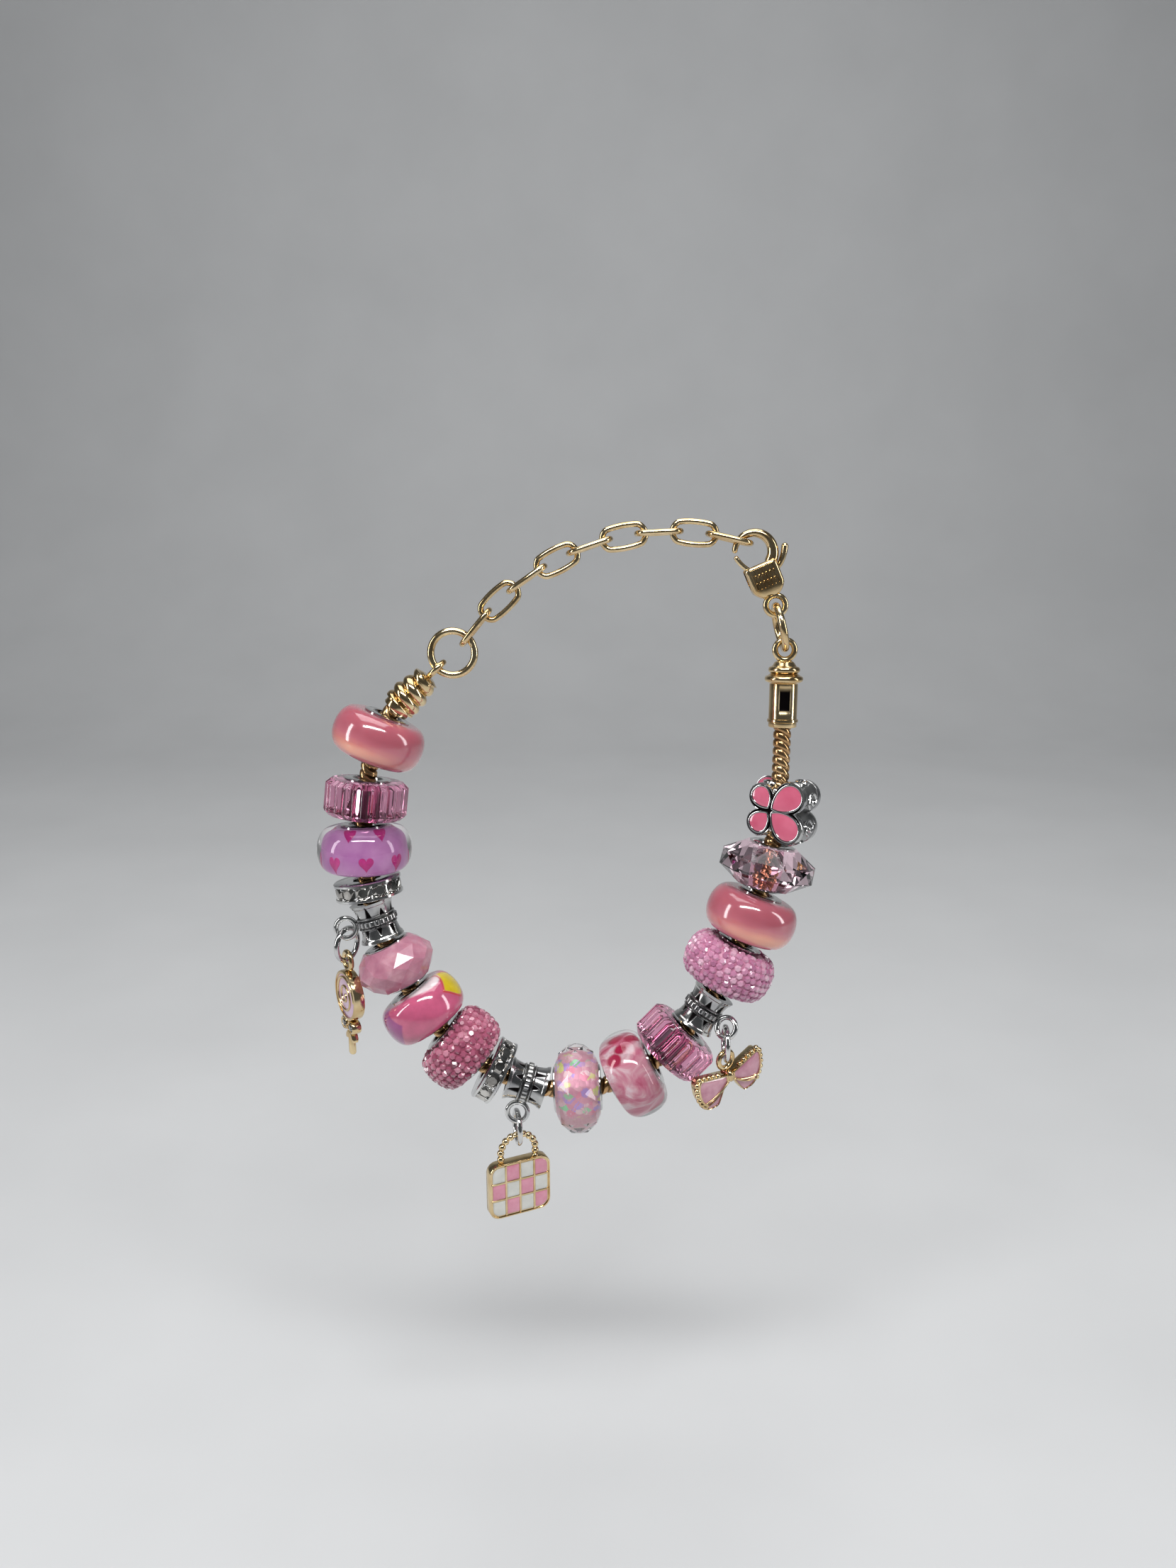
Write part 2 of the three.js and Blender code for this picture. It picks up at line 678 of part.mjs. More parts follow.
// The extender: links along an arc from the left ring to the hook, bulged until the links fill it
const linkPitch = 2 * link.half - 2 * link.wire - gap;
const linkLap = link.half - linkPitch / 2;
const hookHold = clasp.hookRadius - clasp.hookBand / 2 - 2 * gap - link.wire;
const ringHold = endRing.radius - endRing.wire - gap - link.wire;
const spanStart = leftRingCentre.clone().addScaledVector(leftUp, ringHold + linkLap);
const hookCentre = claspEye.clone().addScaledVector(claspUp, clasp.hookCentre);
const hookPull = turnedBy(claspUp, extenderPull);
const spanEnd = hookCentre.clone().addScaledVector(hookPull, hookHold + linkLap);
const chord = spanStart.distanceTo(spanEnd);
let linkCount = 1;
while (linkCount * linkPitch < extenderSlack * chord) linkCount += 2;

// Half the angle that the arc turns through, found by halving until the links' chords fill the span
function bulgeAngle() {
  let [low, high] = [1e-3, 0.9 * Math.PI];
  for (let i = 0; i < 50; i++) {
    const half = (low + high) / 2;
    const spanned = (linkPitch * Math.sin(half)) / Math.sin(half / linkCount);
    if (spanned > chord) low = half;
    else high = half;
  }
  return (low + high) / 2;
}
const bulge = bulgeAngle();
const arcRadius = chord / (2 * Math.sin(bulge));
const chordRun = spanEnd.clone().sub(spanStart).normalize();
const chordRise = new THREE.Vector3(-chordRun.z, 0, chordRun.x);
const arcCentre = spanStart
  .clone()
  .add(spanEnd)
  .multiplyScalar(0.5)
  .addScaledVector(chordRise, -arcRadius * Math.cos(bulge));
const arcPoint = (share) => {
  const angle = bulge * (2 * share - 1);
  return arcCentre
    .clone()
    .addScaledVector(chordRise, arcRadius * Math.cos(angle))
    .addScaledVector(chordRun, arcRadius * Math.sin(angle));
};
for (let i = 0; i < linkCount; i++) {
  const [from, to] = [arcPoint(i / linkCount), arcPoint((i + 1) / linkCount)];
  const along = to.clone().sub(from).normalize();
  const geometry = ovalLink(link);
  if (i % 2 === 0) geometry.rotateY(Math.PI / 2);
  const name = "extender_link_" + String(i + 1).padStart(2, "0");
  loop.add(placed(mesh(name, geometry, gold), from.add(to).multiplyScalar(0.5), along));
}

// The bracelet hangs on the inner side of the extender's middle link
const hangPoint = arcPoint(0.5).addScaledVector(chordRise, -link.wire);
loop.children.forEach((child) => child.position.sub(hangPoint));

const bracelet = new THREE.Group();
loop.rotation.x = -lean;
bracelet.add(loop);
export default bracelet;
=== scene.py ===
import math

import bmesh
import bpy
import numpy as np
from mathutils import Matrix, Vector


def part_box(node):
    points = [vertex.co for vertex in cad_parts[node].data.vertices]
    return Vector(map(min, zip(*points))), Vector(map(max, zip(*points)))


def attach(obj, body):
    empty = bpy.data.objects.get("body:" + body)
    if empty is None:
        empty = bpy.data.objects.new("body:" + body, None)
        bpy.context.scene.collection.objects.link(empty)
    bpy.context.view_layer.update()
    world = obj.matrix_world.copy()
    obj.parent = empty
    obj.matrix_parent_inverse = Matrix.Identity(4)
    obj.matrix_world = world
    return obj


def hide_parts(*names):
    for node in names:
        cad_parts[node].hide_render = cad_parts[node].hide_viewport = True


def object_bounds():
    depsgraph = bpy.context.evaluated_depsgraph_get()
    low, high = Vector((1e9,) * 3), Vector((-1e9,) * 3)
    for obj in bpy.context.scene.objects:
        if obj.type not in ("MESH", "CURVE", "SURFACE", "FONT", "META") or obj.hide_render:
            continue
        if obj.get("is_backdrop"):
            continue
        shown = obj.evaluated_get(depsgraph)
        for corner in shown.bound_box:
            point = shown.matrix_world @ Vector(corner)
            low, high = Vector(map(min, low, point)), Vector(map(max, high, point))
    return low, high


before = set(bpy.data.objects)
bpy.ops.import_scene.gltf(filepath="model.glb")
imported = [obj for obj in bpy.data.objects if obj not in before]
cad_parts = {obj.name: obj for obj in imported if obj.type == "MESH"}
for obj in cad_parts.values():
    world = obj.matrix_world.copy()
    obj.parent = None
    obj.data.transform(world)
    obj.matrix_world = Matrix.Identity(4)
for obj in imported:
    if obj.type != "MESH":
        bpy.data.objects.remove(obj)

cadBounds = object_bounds()
turn = 2 * math.pi
rng = np.random.default_rng(11)


# Where things are: the loop leans back, and its route is the CAD source's own, in millimetres

lean = math.radians(8)
tilt = np.array([[1, 0, 0], [0, math.cos(lean), math.sin(lean)], [0, -math.sin(lean), math.cos(lean)]])

chainRoute = np.array([
    [-26.6, 13.2], [-29.9, 10.0], [-32.2, 4.8], [-33.4, -2.8], [-33.8, -10.8], [-32.6, -19.2], [-29.4, -27.8],
    [-24.4, -36.0], [-17.4, -42.8], [-8.8, -47.0], [0.2, -47.6], [8.2, -44.6], [14.4, -39.2], [19.0, -32.8],
    [22.6, -25.6], [25.6, -18.2], [27.6, -10.4], [28.6, -3.0], [28.9, 4.4], [29.0, 11.6],
])

# Name: width across, length along, end radius, and bare chain before it
strung = {
    "cat_eye_bead_left": (14, 7.6, 3.5, 0), "fluted_bead_left": (12.4, 6.2, 3.5, 1.2),
    "heart_bead": (14.2, 7.6, 3.5, 0), "stone_spacer_left": (10.2, 2.8, 5.1, 0),
    "bail_left": (6.6, 6, 3.3, 0),
    "opal_bead": (12.2, 7.2, 3.5, 0), "painted_bead": (13, 7.2, 3.5, 0),
    "sugar_bead_left": (13.4, 7.8, 3.5, 0),
    "stone_spacer_bottom": (10.2, 2.8, 5.1, 0), "bail_bottom": (6.6, 6, 3.3, 0),
    "glitter_bead": (13.8, 7.4, 3.5, 0), "blossom_bead": (13.6, 7.4, 3.5, 0),
    "fluted_bead_right": (12.4, 6.2, 3.5, 0), "bail_right": (6.6, 6, 3.3, 0),
    "sugar_bead_right": (14.2, 8, 3.5, 0), "cat_eye_bead_right": (14, 7.6, 3.5, 0),
    "crystal_bead": (14.4, 7, 3.5, 0), "butterfly_bead": (10, 9, 5, 0),
}
firstBeadAt = 4.2  # along the route from its start
beadGap = 0.35


def smooth(x, low, high):
    t = np.clip((x - low) / (high - low), 0, 1)
    return t * t * (3 - 2 * t)


def unit(vectors):
    return vectors / np.linalg.norm(vectors, axis=-1, keepdims=True)


def runOf(points):
    # how far along its own length each point of a line lies
    return np.concatenate([[0], np.cumsum(np.linalg.norm(np.diff(points, axis=0), axis=1))])


# Centripetal Catmull-Rom: each stretch is the cubic through two points, whose slopes weigh the next points
# by the square roots of their distances
def smoothRoute(points, steps=60):
    ends = np.vstack([2 * points[0] - points[1], points, 2 * points[-1] - points[-2]])
    a, b, c, d = ends[:-3], ends[1:-2], ends[2:-1], ends[3:]
    ab, bc, cd = (np.sqrt(np.linalg.norm(q - p, axis=1))[:, None] for p, q in ((a, b), (b, c), (c, d)))
    slopeB = ((b - a) / ab - (c - a) / (ab + bc) + (c - b) / bc) * bc
    slopeC = ((c - b) / bc - (d - b) / (bc + cd) + (d - c) / cd) * bc
    w = np.linspace(0, 1, steps, endpoint=False)[:, None, None]
    cubic = (b + w * slopeB + w**2 * (3 * (c - b) - 2 * slopeB - slopeC)
             + w**3 * (2 * (b - c) + slopeB + slopeC))
    return np.vstack([cubic.transpose(1, 0, 2).reshape(-1, 2), points[-1:]])


route = smoothRoute(chainRoute)
reachOf = runOf(route)
chainLength = reachOf[-1]


def routeAt(reach):
    return np.stack([np.interp(reach, reachOf, route[:, k]) for k in (0, 1)], -1)


# A place is an origin and three axes: outwards, along, and to the front
def placeOf(across, up, alongAcross, alongUp, shift=np.zeros(3)):
    along = tilt @ np.array([alongAcross, 0, alongUp])
    out = tilt @ np.array([alongUp, 0, -alongAcross])
    return {"at": tilt @ np.array([across, 0, up]) + shift,
            "axes": np.stack([out, along, np.cross(out, along)])}


def stringPieces():
    found, reached, before = {}, firstBeadAt, None

    def direction(reach, length):
        return unit(routeAt(reach + length) - routeAt(reach))

    for name, (width, length, endRadius, bare) in strung.items():
        if before:
            turned = direction(reached - before[1], before[1]) @ direction(reached + beadGap, length)
            reached += beadGap + math.acos(min(1, turned)) * min(before[2], endRadius) + bare
        before = (width, length, endRadius)
        chordMiddle = (routeAt(reached) + routeAt(reached + length)) / 2
        middle = (chordMiddle + routeAt(reached + length / 2)) / 2
        found[name] = placeOf(*middle, *direction(reached, length))
        reached += length
    return found


def boxMiddle(node):
    low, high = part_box(node)
    return np.array((low + high) / 2) * 1000


places = stringPieces()
cored = [n for n in places if n + "_core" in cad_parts]
shift = np.mean([boxMiddle(n + "_core") - places[n]["at"] for n in cored], axis=0)
for place in places.values():
    place["at"] = place["at"] + shift
offsets = [np.linalg.norm(boxMiddle(n + "_core") - places[n]["at"]) for n in cored]
print("pieces strung; furthest from the CAD", round(max(offsets), 3), "mm")


# Shapes: points in millimetres with faces, and float or colour attributes worked out with them


def gridShape(points, wrapRows=True, wrapColumns=True, **paint):
    rows, columns = points.shape[:2]
    index = np.arange(rows * columns).reshape(rows, columns)
    if wrapRows:
        index = np.vstack([index, index[:1]])
    if wrapColumns:
        index = np.hstack([index, index[:, :1]])
    corners = [index[:-1, :-1], index[1:, :-1], index[1:, 1:], index[:-1, 1:]]
    flat = {k: v.reshape(rows * columns, -1) for k, v in paint.items()}
    return {"points": points.reshape(-1, 3), "faces": np.stack(corners, -1).reshape(-1, 4), "paint": flat}


def joined(shapes):
    if isinstance(shapes, dict):
        return shapes
    starts = np.cumsum([0] + [len(s["points"]) for s in shapes])
    return {
        "points": np.vstack([s["points"] for s in shapes]),
        "faces": np.vstack([s["faces"] + k for s, k in zip(shapes, starts)]),
        "paint": {k: np.vstack([s["paint"][k] for s in shapes]) for k in shapes[0]["paint"]},
    }


def moved(shapes, place):
    shape = joined(shapes)
    return {**shape, "points": shape["points"] @ place["axes"] + place["at"]}


def within(place, at=(0, 0, 0), axes=None):
    axes = np.eye(3) if axes is None else np.array(axes, float)
    return {"at": np.array(at, float) @ place["axes"] + place["at"], "axes": axes @ place["axes"]}


def turnedAboutY(angle):
    c, s = math.cos(angle), math.sin(angle)
    return [[c, 0, s], [0, 1, 0], [-s, 0, c]]


def roundAt(angle):
    # outwards and onwards at this angle round a piece's own Y
    c, s = math.cos(angle), math.sin(angle)
    return np.array([c, 0, s]), np.array([-s, 0, c])


def mirrored(profile, middle=()):
    # the same points again with their heights turned over, in the other order
    return [*profile, *middle, *((x, -y) for x, y in reversed(profile))]


# Turned round the piece's own Y: each profile point (radius, height) goes round a circle, and grow adds to
# the radius by angle and height
def lathe(profile, sides=96, grow=None, paint=None):
    profile = np.array(profile, float)
    angle = np.linspace(0, turn, sides, endpoint=False)[None, :]
    radius, height = profile[:, :1] + 0 * angle, profile[:, 1:] + 0 * angle
    around = angle + 0 * radius
    if grow:
        radius = radius + grow(around, height, radius)
    points = np.stack([radius * np.cos(around), height, radius * np.sin(around)], -1)
    return gridShape(points, **(paint(around, height, radius) if paint else {}))


# Carried along a path: an ellipse of two half-widths, across the path and along the given side, which may
# change along it; an open path is closed by ends that shrink to a point over a quarter circle
def sweep(path, halfAcross, halfAside, side=(0, 0, 1), closed=False, sides=16):
    path, side = np.array(path, float), np.array(side, float)
    run = unit(np.roll(path, -1, 0) - np.roll(path, 1, 0) if closed else np.gradient(path, axis=0))
    aside = unit(side - (run @ side)[:, None] * run)
    across = np.cross(aside, run)
    a, b = (np.broadcast_to(np.asarray(half, float), len(path))[:, None, None]
            for half in (halfAcross, halfAside))
    angle = np.linspace(0, turn, sides, endpoint=False)[None, :, None]
    ring = a * np.cos(angle) * across[:, None] + b * np.sin(angle) * aside[:, None]
    points = path[:, None] + ring
    if closed:
        return gridShape(points)
    bend = np.linspace(0, math.pi / 2, 5)[1:, None, None]
    first, last = (path[end] + way * min(a[end, 0, 0], b[end, 0, 0]) * np.sin(bend) * run[end]
                   + np.cos(bend) * ring[end][None] for end, way in ((0, -1), (-1, 1)))
    return gridShape(np.vstack([first[::-1], points, last]), wrapRows=False)


def ringPath(radius, steps, stop=turn):
    t = np.linspace(0, stop, steps, endpoint=stop < turn)
    return np.stack([radius * np.cos(t), radius * np.sin(t), 0 * t], -1)


def disc(size, steps, at=(0, 0)):
    return ringPath(1, steps)[:, :2] * size + at


ringSeam = {"at": 1.1, "wide": 0.045, "deep": 0.22}


# A ring of round wire in the X and Y plane; one that was bent shut has a fine seam
def wireRing(radius, wire, seam=False):
    t = np.linspace(0, turn, 72, endpoint=False)
    nick = 1 - seam * ringSeam["deep"] * np.exp(-(((t - ringSeam["at"]) / ringSeam["wide"]) ** 2))
    return sweep(ringPath(radius, 72), wire * nick, wire * nick, closed=True)


# A flat form with a crowned face: its outline is shrunk towards its centre and lifted, step by step, from
# the middle of its front to the middle of its back
def pillow(outline, steps, centre=None, paint=None):
    outline = np.array(outline, float)
    centre = outline.mean(0) if centre is None else np.array(centre, float)
    share, height = (np.array([s[k] for s in steps])[:, None, None] for k in (0, 1))
    flat = centre + share * (outline - centre)
    points = np.concatenate([flat, height + 0 * outline[None, :, :1]], -1)
    return gridShape(points, wrapRows=False, **(paint(points) if paint else {}))


def crowned(half, front, back=()):
    # a pillow's steps, from depths under its front face and then over its back
    return [(share, half - deep) for share, deep in front] + [(share, deep - half) for share, deep in back]


def spheres(centres, radius, rings=6, sides=8):
    t = np.linspace(0, math.pi, rings)[:, None]
    p = np.linspace(0, turn, sides, endpoint=False)[None, :]
    ball = np.stack([np.sin(t) * np.cos(p), np.sin(t) * np.sin(p), np.cos(t) + 0 * p], -1)
    return joined([gridShape(c + radius * ball, wrapRows=False) for c in np.array(centres, float)])


# Flat facets between rows of corners, each row turned by half a facet from the last, so that the facets are
# triangles; the last two rows are the wall of the bore
def faceted(rows, sides, depth):
    rows = np.array([*rows, (rows[-1][0] - depth, rows[-1][1]), (rows[0][0] - depth, rows[0][1])])
    count = len(rows)
    lag = np.minimum(np.arange(count), count - 3)
    angle = np.arange(sides)[None, :] * turn / sides + lag[:, None] * turn / sides / 2
    radius, height = rows[:, :1], rows[:, 1:]
    points = np.stack([radius * np.cos(angle), height + 0 * angle, radius * np.sin(angle)], -1)
    index = np.arange(count * sides).reshape(count, sides)
    following = np.vstack([index[1:], np.roll(index[:1], lag[-1] // 2)])
    triangles = []
    for a, b in zip(index, following):
        triangles += [np.stack([a, b, np.roll(a, -1)], -1), np.stack([np.roll(a, -1), b, np.roll(b, -1)], -1)]
    return {"points": points.reshape(-1, 3), "faces": np.vstack(triangles), "paint": {}}


def linear(hexColour):
    # sRGB hex to linear light
    c = np.array([int(hexColour[i : i + 2], 16) / 255 for i in (1, 3, 5)])
    return np.append(np.where(c <= 0.04045, c / 12.92, ((c + 0.055) / 1.055) ** 2.4), 1)


# Puts one or more shapes into a mesh in metres; the mesh is closed and faces outwards
def addPiece(name, shapes, material, replaces=None, body="bracelet", sharp=40):
    shape = joined(shapes)
    mesh = bpy.data.meshes.new(name)
    mesh.from_pydata((shape["points"] * 0.001).tolist(), [], shape["faces"].tolist())
    for key, values in shape["paint"].items():
        kind, field = ("FLOAT_COLOR", "color") if values.shape[1] == 4 else ("FLOAT", "value")
        mesh.attributes.new(key, kind, "POINT").data.foreach_set(field, values.astype(np.float32).ravel())
    build = bmesh.new()
    build.from_mesh(mesh)
    bmesh.ops.remove_doubles(build, verts=build.verts, dist=2e-6)
    bmesh.ops.dissolve_degenerate(build, edges=build.edges, dist=1e-6)
    bmesh.ops.recalc_face_normals(build, faces=build.faces)
    build.to_mesh(mesh)
    build.free()
    mesh.polygons.foreach_set("use_smooth", np.full(len(mesh.polygons), sharp > 0))
    if sharp > 0:
        mesh.set_sharp_from_angle(angle=math.radians(sharp))
    piece = bpy.data.objects.new(name, mesh)
    bpy.context.scene.collection.objects.link(piece)
    mesh.materials.append(material)
    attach(piece, body)
    if replaces:
        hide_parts(replaces)


# Materials: sizes are in millimetres, and a texture's scale is 1000 over its size
# since coordinates are metres


# Adds a node and gives back one of its sockets: inputs are numbers, colours or other nodes' sockets, stops
# are a colour ramp's places and sRGB colours, and the rest are the node's own settings
def addNode(tree, kind, inputs=None, output=0, stops=(), interpolation="LINEAR", **settings):
    node = tree.nodes.new(kind)
    for key, value in settings.items():
        setattr(node, key, value)
    for key, value in (inputs or {}).items():
        if isinstance(value, bpy.types.NodeSocket):
            tree.links.new(value, node.inputs[key])
        else:
            node.inputs[key].default_value = value
    if stops:
        node.color_ramp.interpolation = interpolation
        for extra in stops[2:]:
            node.color_ramp.elements.new(0.5)
        for element, (position, colour) in zip(node.color_ramp.elements, stops):
            element.position, element.color = position, linear(colour)
    return node.outputs[output]


def newFinish(name, sockets, ripple=2.5, depth=0.03, strength=0.5, detail=1.0):
    # a shader with these sockets, and a fine ripple of this size and depth in its surface
    material = bpy.data.materials.new(name)
    material.use_nodes = True
    tree = material.node_tree
    shader = tree.nodes["Principled BSDF"]
    for key, value in sockets.items():
        shader.inputs[key].default_value = value
    place = addNode(tree, "ShaderNodeTexCoord", output="Object")
    if ripple:
        height = addNode(tree, "ShaderNodeTexNoise",
                         {"Vector": place, "Scale": 1000 / ripple, "Detail": detail})
        bump = addNode(tree, "ShaderNodeBump",
                       {"Height": height, "Distance": depth * 0.001, "Strength": strength})
        tree.links.new(bump, shader.inputs["Normal"])
    return material, tree, shader.inputs, place


def clouds(tree, place, size, stops, detail=3.0):
    # soft patches of tone
    noise = addNode(tree, "ShaderNodeTexNoise", {"Vector": place, "Scale": 1000 / size, "Detail": detail})
    return addNode(tree, "ShaderNodeValToRGB", {"Fac": noise}, stops=stops)


def metal(name, light, dark, roughness, oxide=False):
    # thin polished plating: patches of slightly different tone, fine casting ripple and faint wear
    material, tree, surface, place = newFinish(
        name, {"Metallic": 1.0, "Roughness": roughness}, 0.9, detail=2.0)
    colour = clouds(tree, place, 3.5, [(0.3, dark), (0.62, light)])
    if oxide:
        # blackened in the recesses, as the piece's own attribute says: oxidised silver in its hollows, and
        # painted shade in the recesses of the gold plating and the snake chain
        mask = addNode(tree, "ShaderNodeAttribute", output="Fac", attribute_name="oxide")
        colour = addNode(tree, "ShaderNodeMix",
                         {0: mask, 6: colour, 7: linear("#120F10")}, 2, data_type="RGBA")
        spread = addNode(tree, "ShaderNodeMapRange", {"Value": mask, "To Min": roughness, "To Max": 0.5})
        tree.links.new(spread, surface["Roughness"])
    tree.links.new(colour, surface["Base Color"])
    return material


def glassy(name, colour, ior, roughness=0.0, ripple=4.0, depth=0.02):
    # moulded clear glass or resin, a little uneven as it cooled
    sockets = {"Base Color": linear(colour), "IOR": ior, "Roughness": roughness, "Transmission Weight": 1.0}
    return newFinish(name, sockets, ripple, depth, 0.6)[0]


def cloudy(name, stops, size, sockets):
    # a coloured body with soft clouds of tone in it, under a gloss
    material, tree, surface, place = newFinish(name, sockets)
    tree.links.new(clouds(tree, place, size, stops), surface["Base Color"])
    return material


gloss = {"Coat Weight": 1.0, "Coat Roughness": 0.03}
subsurface = {"Subsurface Weight": 0.6, "Subsurface Radius": (1.0, 0.45, 0.4), "Subsurface Scale": 0.003}


def lampwork():
    # opaque coloured glasses laid on by hand, as the piece's own attribute says, slightly clouded
    material, tree, surface, place = newFinish("paintedLampworkGlass", {
        "Roughness": 0.12, "IOR": 1.52, "Subsurface Weight": 0.15, "Subsurface Radius": (1.0, 0.4, 0.4),
        "Subsurface Scale": 0.001, **gloss}, 2.2)
    colour = addNode(tree, "ShaderNodeAttribute", output="Color", attribute_name="paintColour")
    shade = clouds(tree, place, 1.6, [(0.3, "#E6E6E6"), (0.7, "#FFFFFF")])
    mixed = addNode(tree, "ShaderNodeMix", {0: 1.0, 6: colour, 7: shade}, 2, data_type="RGBA",
                    blend_type="MULTIPLY")
    tree.links.new(mixed, surface["Base Color"])
    return material


def catEye():
    # translucent resin with painted light inside it: the colour is lighter where the piece's own attribute
    # paints a glowing band
    material, tree, surface, place = newFinish("catEyeResin", {"Roughness": 0.16, "IOR": 1.53, **gloss,
                                                               **subsurface}, 3.0)
    glow = addNode(tree, "ShaderNodeAttribute", output="Fac", attribute_name="glow")
    noise = addNode(tree, "ShaderNodeTexNoise", {"Vector": place, "Scale": 1000 / 4.0, "Detail": 0.5})
    cloud = addNode(tree, "ShaderNodeMath", {0: noise, 1: 0.45, 2: -0.2}, operation="MULTIPLY_ADD")
    level = addNode(tree, "ShaderNodeMath", {0: glow, 1: cloud}, operation="ADD")
    colour = addNode(tree, "ShaderNodeValToRGB", {"Fac": level}, stops=[
        (0.0, "#AC5C6A"), (0.35, "#BE6E7B"), (0.7, "#D28484"), (1.0, "#EDAA92")])
    tree.links.new(colour, surface["Base Color"])
    return material


def crystalChips(name, dark, middle, light):
    # small cut crystals: each takes its own tone, so that some flash and some are dark
    material, tree, surface, place = newFinish(name, {
        "Roughness": 0.05, "IOR": 1.55, "Transmission Weight": 0.2, "Coat Weight": 1.0,
        "Coat Roughness": 0.02}, 0.5, strength=0.4)
    tone = addNode(tree, "ShaderNodeAttribute", output="Fac", attribute_name="tone")
    colour = addNode(tree, "ShaderNodeValToRGB", {"Fac": tone},
                     stops=[(0.0, dark), (0.55, middle), (1.0, light)])
    tree.links.new(colour, surface["Base Color"])
    return material


def foilBand():
    # pink resin with flakes of iridescent foil: each flake's tone comes from its own cell
    material, tree, surface, place = newFinish("iridescentFoilResin", {"Roughness": 0.4, "IOR": 1.5}, None)
    distance = addNode(tree, "ShaderNodeTexVoronoi", {"Vector": place, "Scale": 1000 / 0.75}, "Distance")
    tone = addNode(tree, "ShaderNodeSeparateColor", {"Color": distance.node.outputs["Color"]})
    sheen = addNode(tree, "ShaderNodeValToRGB", {"Fac": tone}, interpolation="CONSTANT", stops=[
        (0.0, "#E8A8BC"), (0.3, "#F0BCC8"), (0.45, "#F09CB4"), (0.6, "#C9A8E8"), (0.75, "#F6D8DC"),
        (0.86, "#E4E890"), (0.95, "#A8E8B8")])
    patches = clouds(tree, place, 4.0, [(0.47, "#000000"), (0.6, "#FFFFFF")], 4.0)
    body = clouds(tree, place, 3.0, [(0.3, "#DFA4B2"), (0.7, "#EFC4CC")])
    colour = addNode(tree, "ShaderNodeMix", {0: patches, 6: body, 7: sheen}, 2, data_type="RGBA")
    shine = addNode(tree, "ShaderNodeMath", {0: patches, 1: 0.3}, operation="MULTIPLY")
    edges = addNode(tree, "ShaderNodeBump", {"Height": distance, "Distance": 0.00012, "Strength": 0.6})
    for socket, value in (("Base Color", colour), ("Metallic", shine), ("Normal", edges)):
        tree.links.new(value, surface[socket])
    return material


def blossomBand():
    # white and pink glass stirred together, with crimson specks
    material, tree, surface, place = newFinish("marbledBlossomGlass", {"Roughness": 0.3, "IOR": 1.5}, None)
    stirred = addNode(tree, "ShaderNodeTexNoise", {"Vector": place, "Scale": 1000 / 3.4, "Detail": 4.0,
                                                   "Distortion": 1.2})
    body = addNode(tree, "ShaderNodeValToRGB", {"Fac": stirred}, stops=[
        (0.3, "#C8486C"), (0.42, "#D87A94"), (0.5, "#E2A0B0"), (0.6, "#F2DADF"), (0.7, "#DE8CA4")])
    spots = addNode(tree, "ShaderNodeTexVoronoi", {"Vector": place, "Scale": 1000 / 3.0}, "Distance")
    core = addNode(tree, "ShaderNodeValToRGB", {"Fac": spots}, stops=[(0.3, "#FFFFFF"), (0.4, "#000000")])
    colour = addNode(tree, "ShaderNodeMix", {0: core, 6: body, 7: linear("#B80F48")}, 2, data_type="RGBA")
    tree.links.new(colour, surface["Base Color"])
    return material


# polished plating over brass, pale and a little pink
paleGold = metal("polishedPaleGoldPlating", "#E9D3A8", "#C8AA7A", 0.15)
# the same plating where it is stamped or pierced, with painted shade darkening the recesses
stampedGold = metal("stampedPaleGoldPlating", "#E6CFA4", "#C4A576", 0.17, oxide=True)
# the snake chain's brown-gold plates, with painted shade darkening the grooves where they overlap
chainGold = metal("wornGoldPlatingWithPaintedShade", "#D9B384", "#AE8558", 0.22, oxide=True)
# bright silver plating on the cores, rings and spacers
brightSilver = metal("polishedSilverPlating", "#DEDEDC", "#B6B6B9", 0.1)
# cast silver alloy, blackened in its recesses and polished on its high parts
castSilver = metal("oxidisedCastSilver", "#CDCDCB", "#9C9C9F", 0.16, oxide=True)
# foil-backed clear stones
foilStone = metal("foilBackedStone", "#D2CFCA", "#6E6A66", 0.05)
# clear pink acrylic, moulded with sharp flutes
pinkAcrylic = glassy("clearPinkAcrylic", "#F2ACCB", 1.49, 0.01, ripple=2.0, depth=0.03)
# clear casing glass, and pale pink cut crystal
clearGlass = glassy("clearCasingGlass", "#FFFCFD", 1.5)
pinkCrystal = glassy("palePinkCutCrystal", "#FBDCE8", 1.52, depth=0.0)
# lilac print with magenta hearts, under clear glass
lilacGlaze = cloudy("lilacPrintedSleeve", [(0.3, "#C078BC"), (0.7, "#D294CC")], 2.2,
                    {"Roughness": 0.35, "IOR": 1.5})
magentaPrint = cloudy("magentaPrint", [(0.3, "#BC0C78"), (0.7, "#D01C8C")], 0.7, {"Roughness": 0.4})
# milky opal glass, cut with facets and softly cloudy inside
opalGlass = cloudy("milkyOpalGlass", [(0.3, "#B87890"), (0.5, "#C88A9E"), (0.7, "#DCA8B6")], 2.6, {
    "Roughness": 0.14, "IOR": 1.5, "Transmission Weight": 0.2, **gloss, **subsurface,
    "Subsurface Weight": 0.35, "Coat Weight": 0.2})
# resin paste that the small crystals are pressed into
roseResin = cloudy("deepRoseResin", [(0.3, "#8E4058"), (0.7, "#A85870")], 1.3, {"Roughness": 0.35})
paleResin = cloudy("palePinkResin", [(0.3, "#B8708E"), (0.7, "#C886A2")], 1.3, {"Roughness": 0.35})
roseChips = crystalChips("cutRoseCrystals", "#8A3E58", "#C26C88", "#E8A4B8")
paleChips = crystalChips("cutPalePinkCrystals", "#B87498", "#DC98BA", "#F4CCDE")
catEyeResin, lampworkGlass, foilResin, marbledGlass = catEye(), lampwork(), foilBand(), blossomBand()
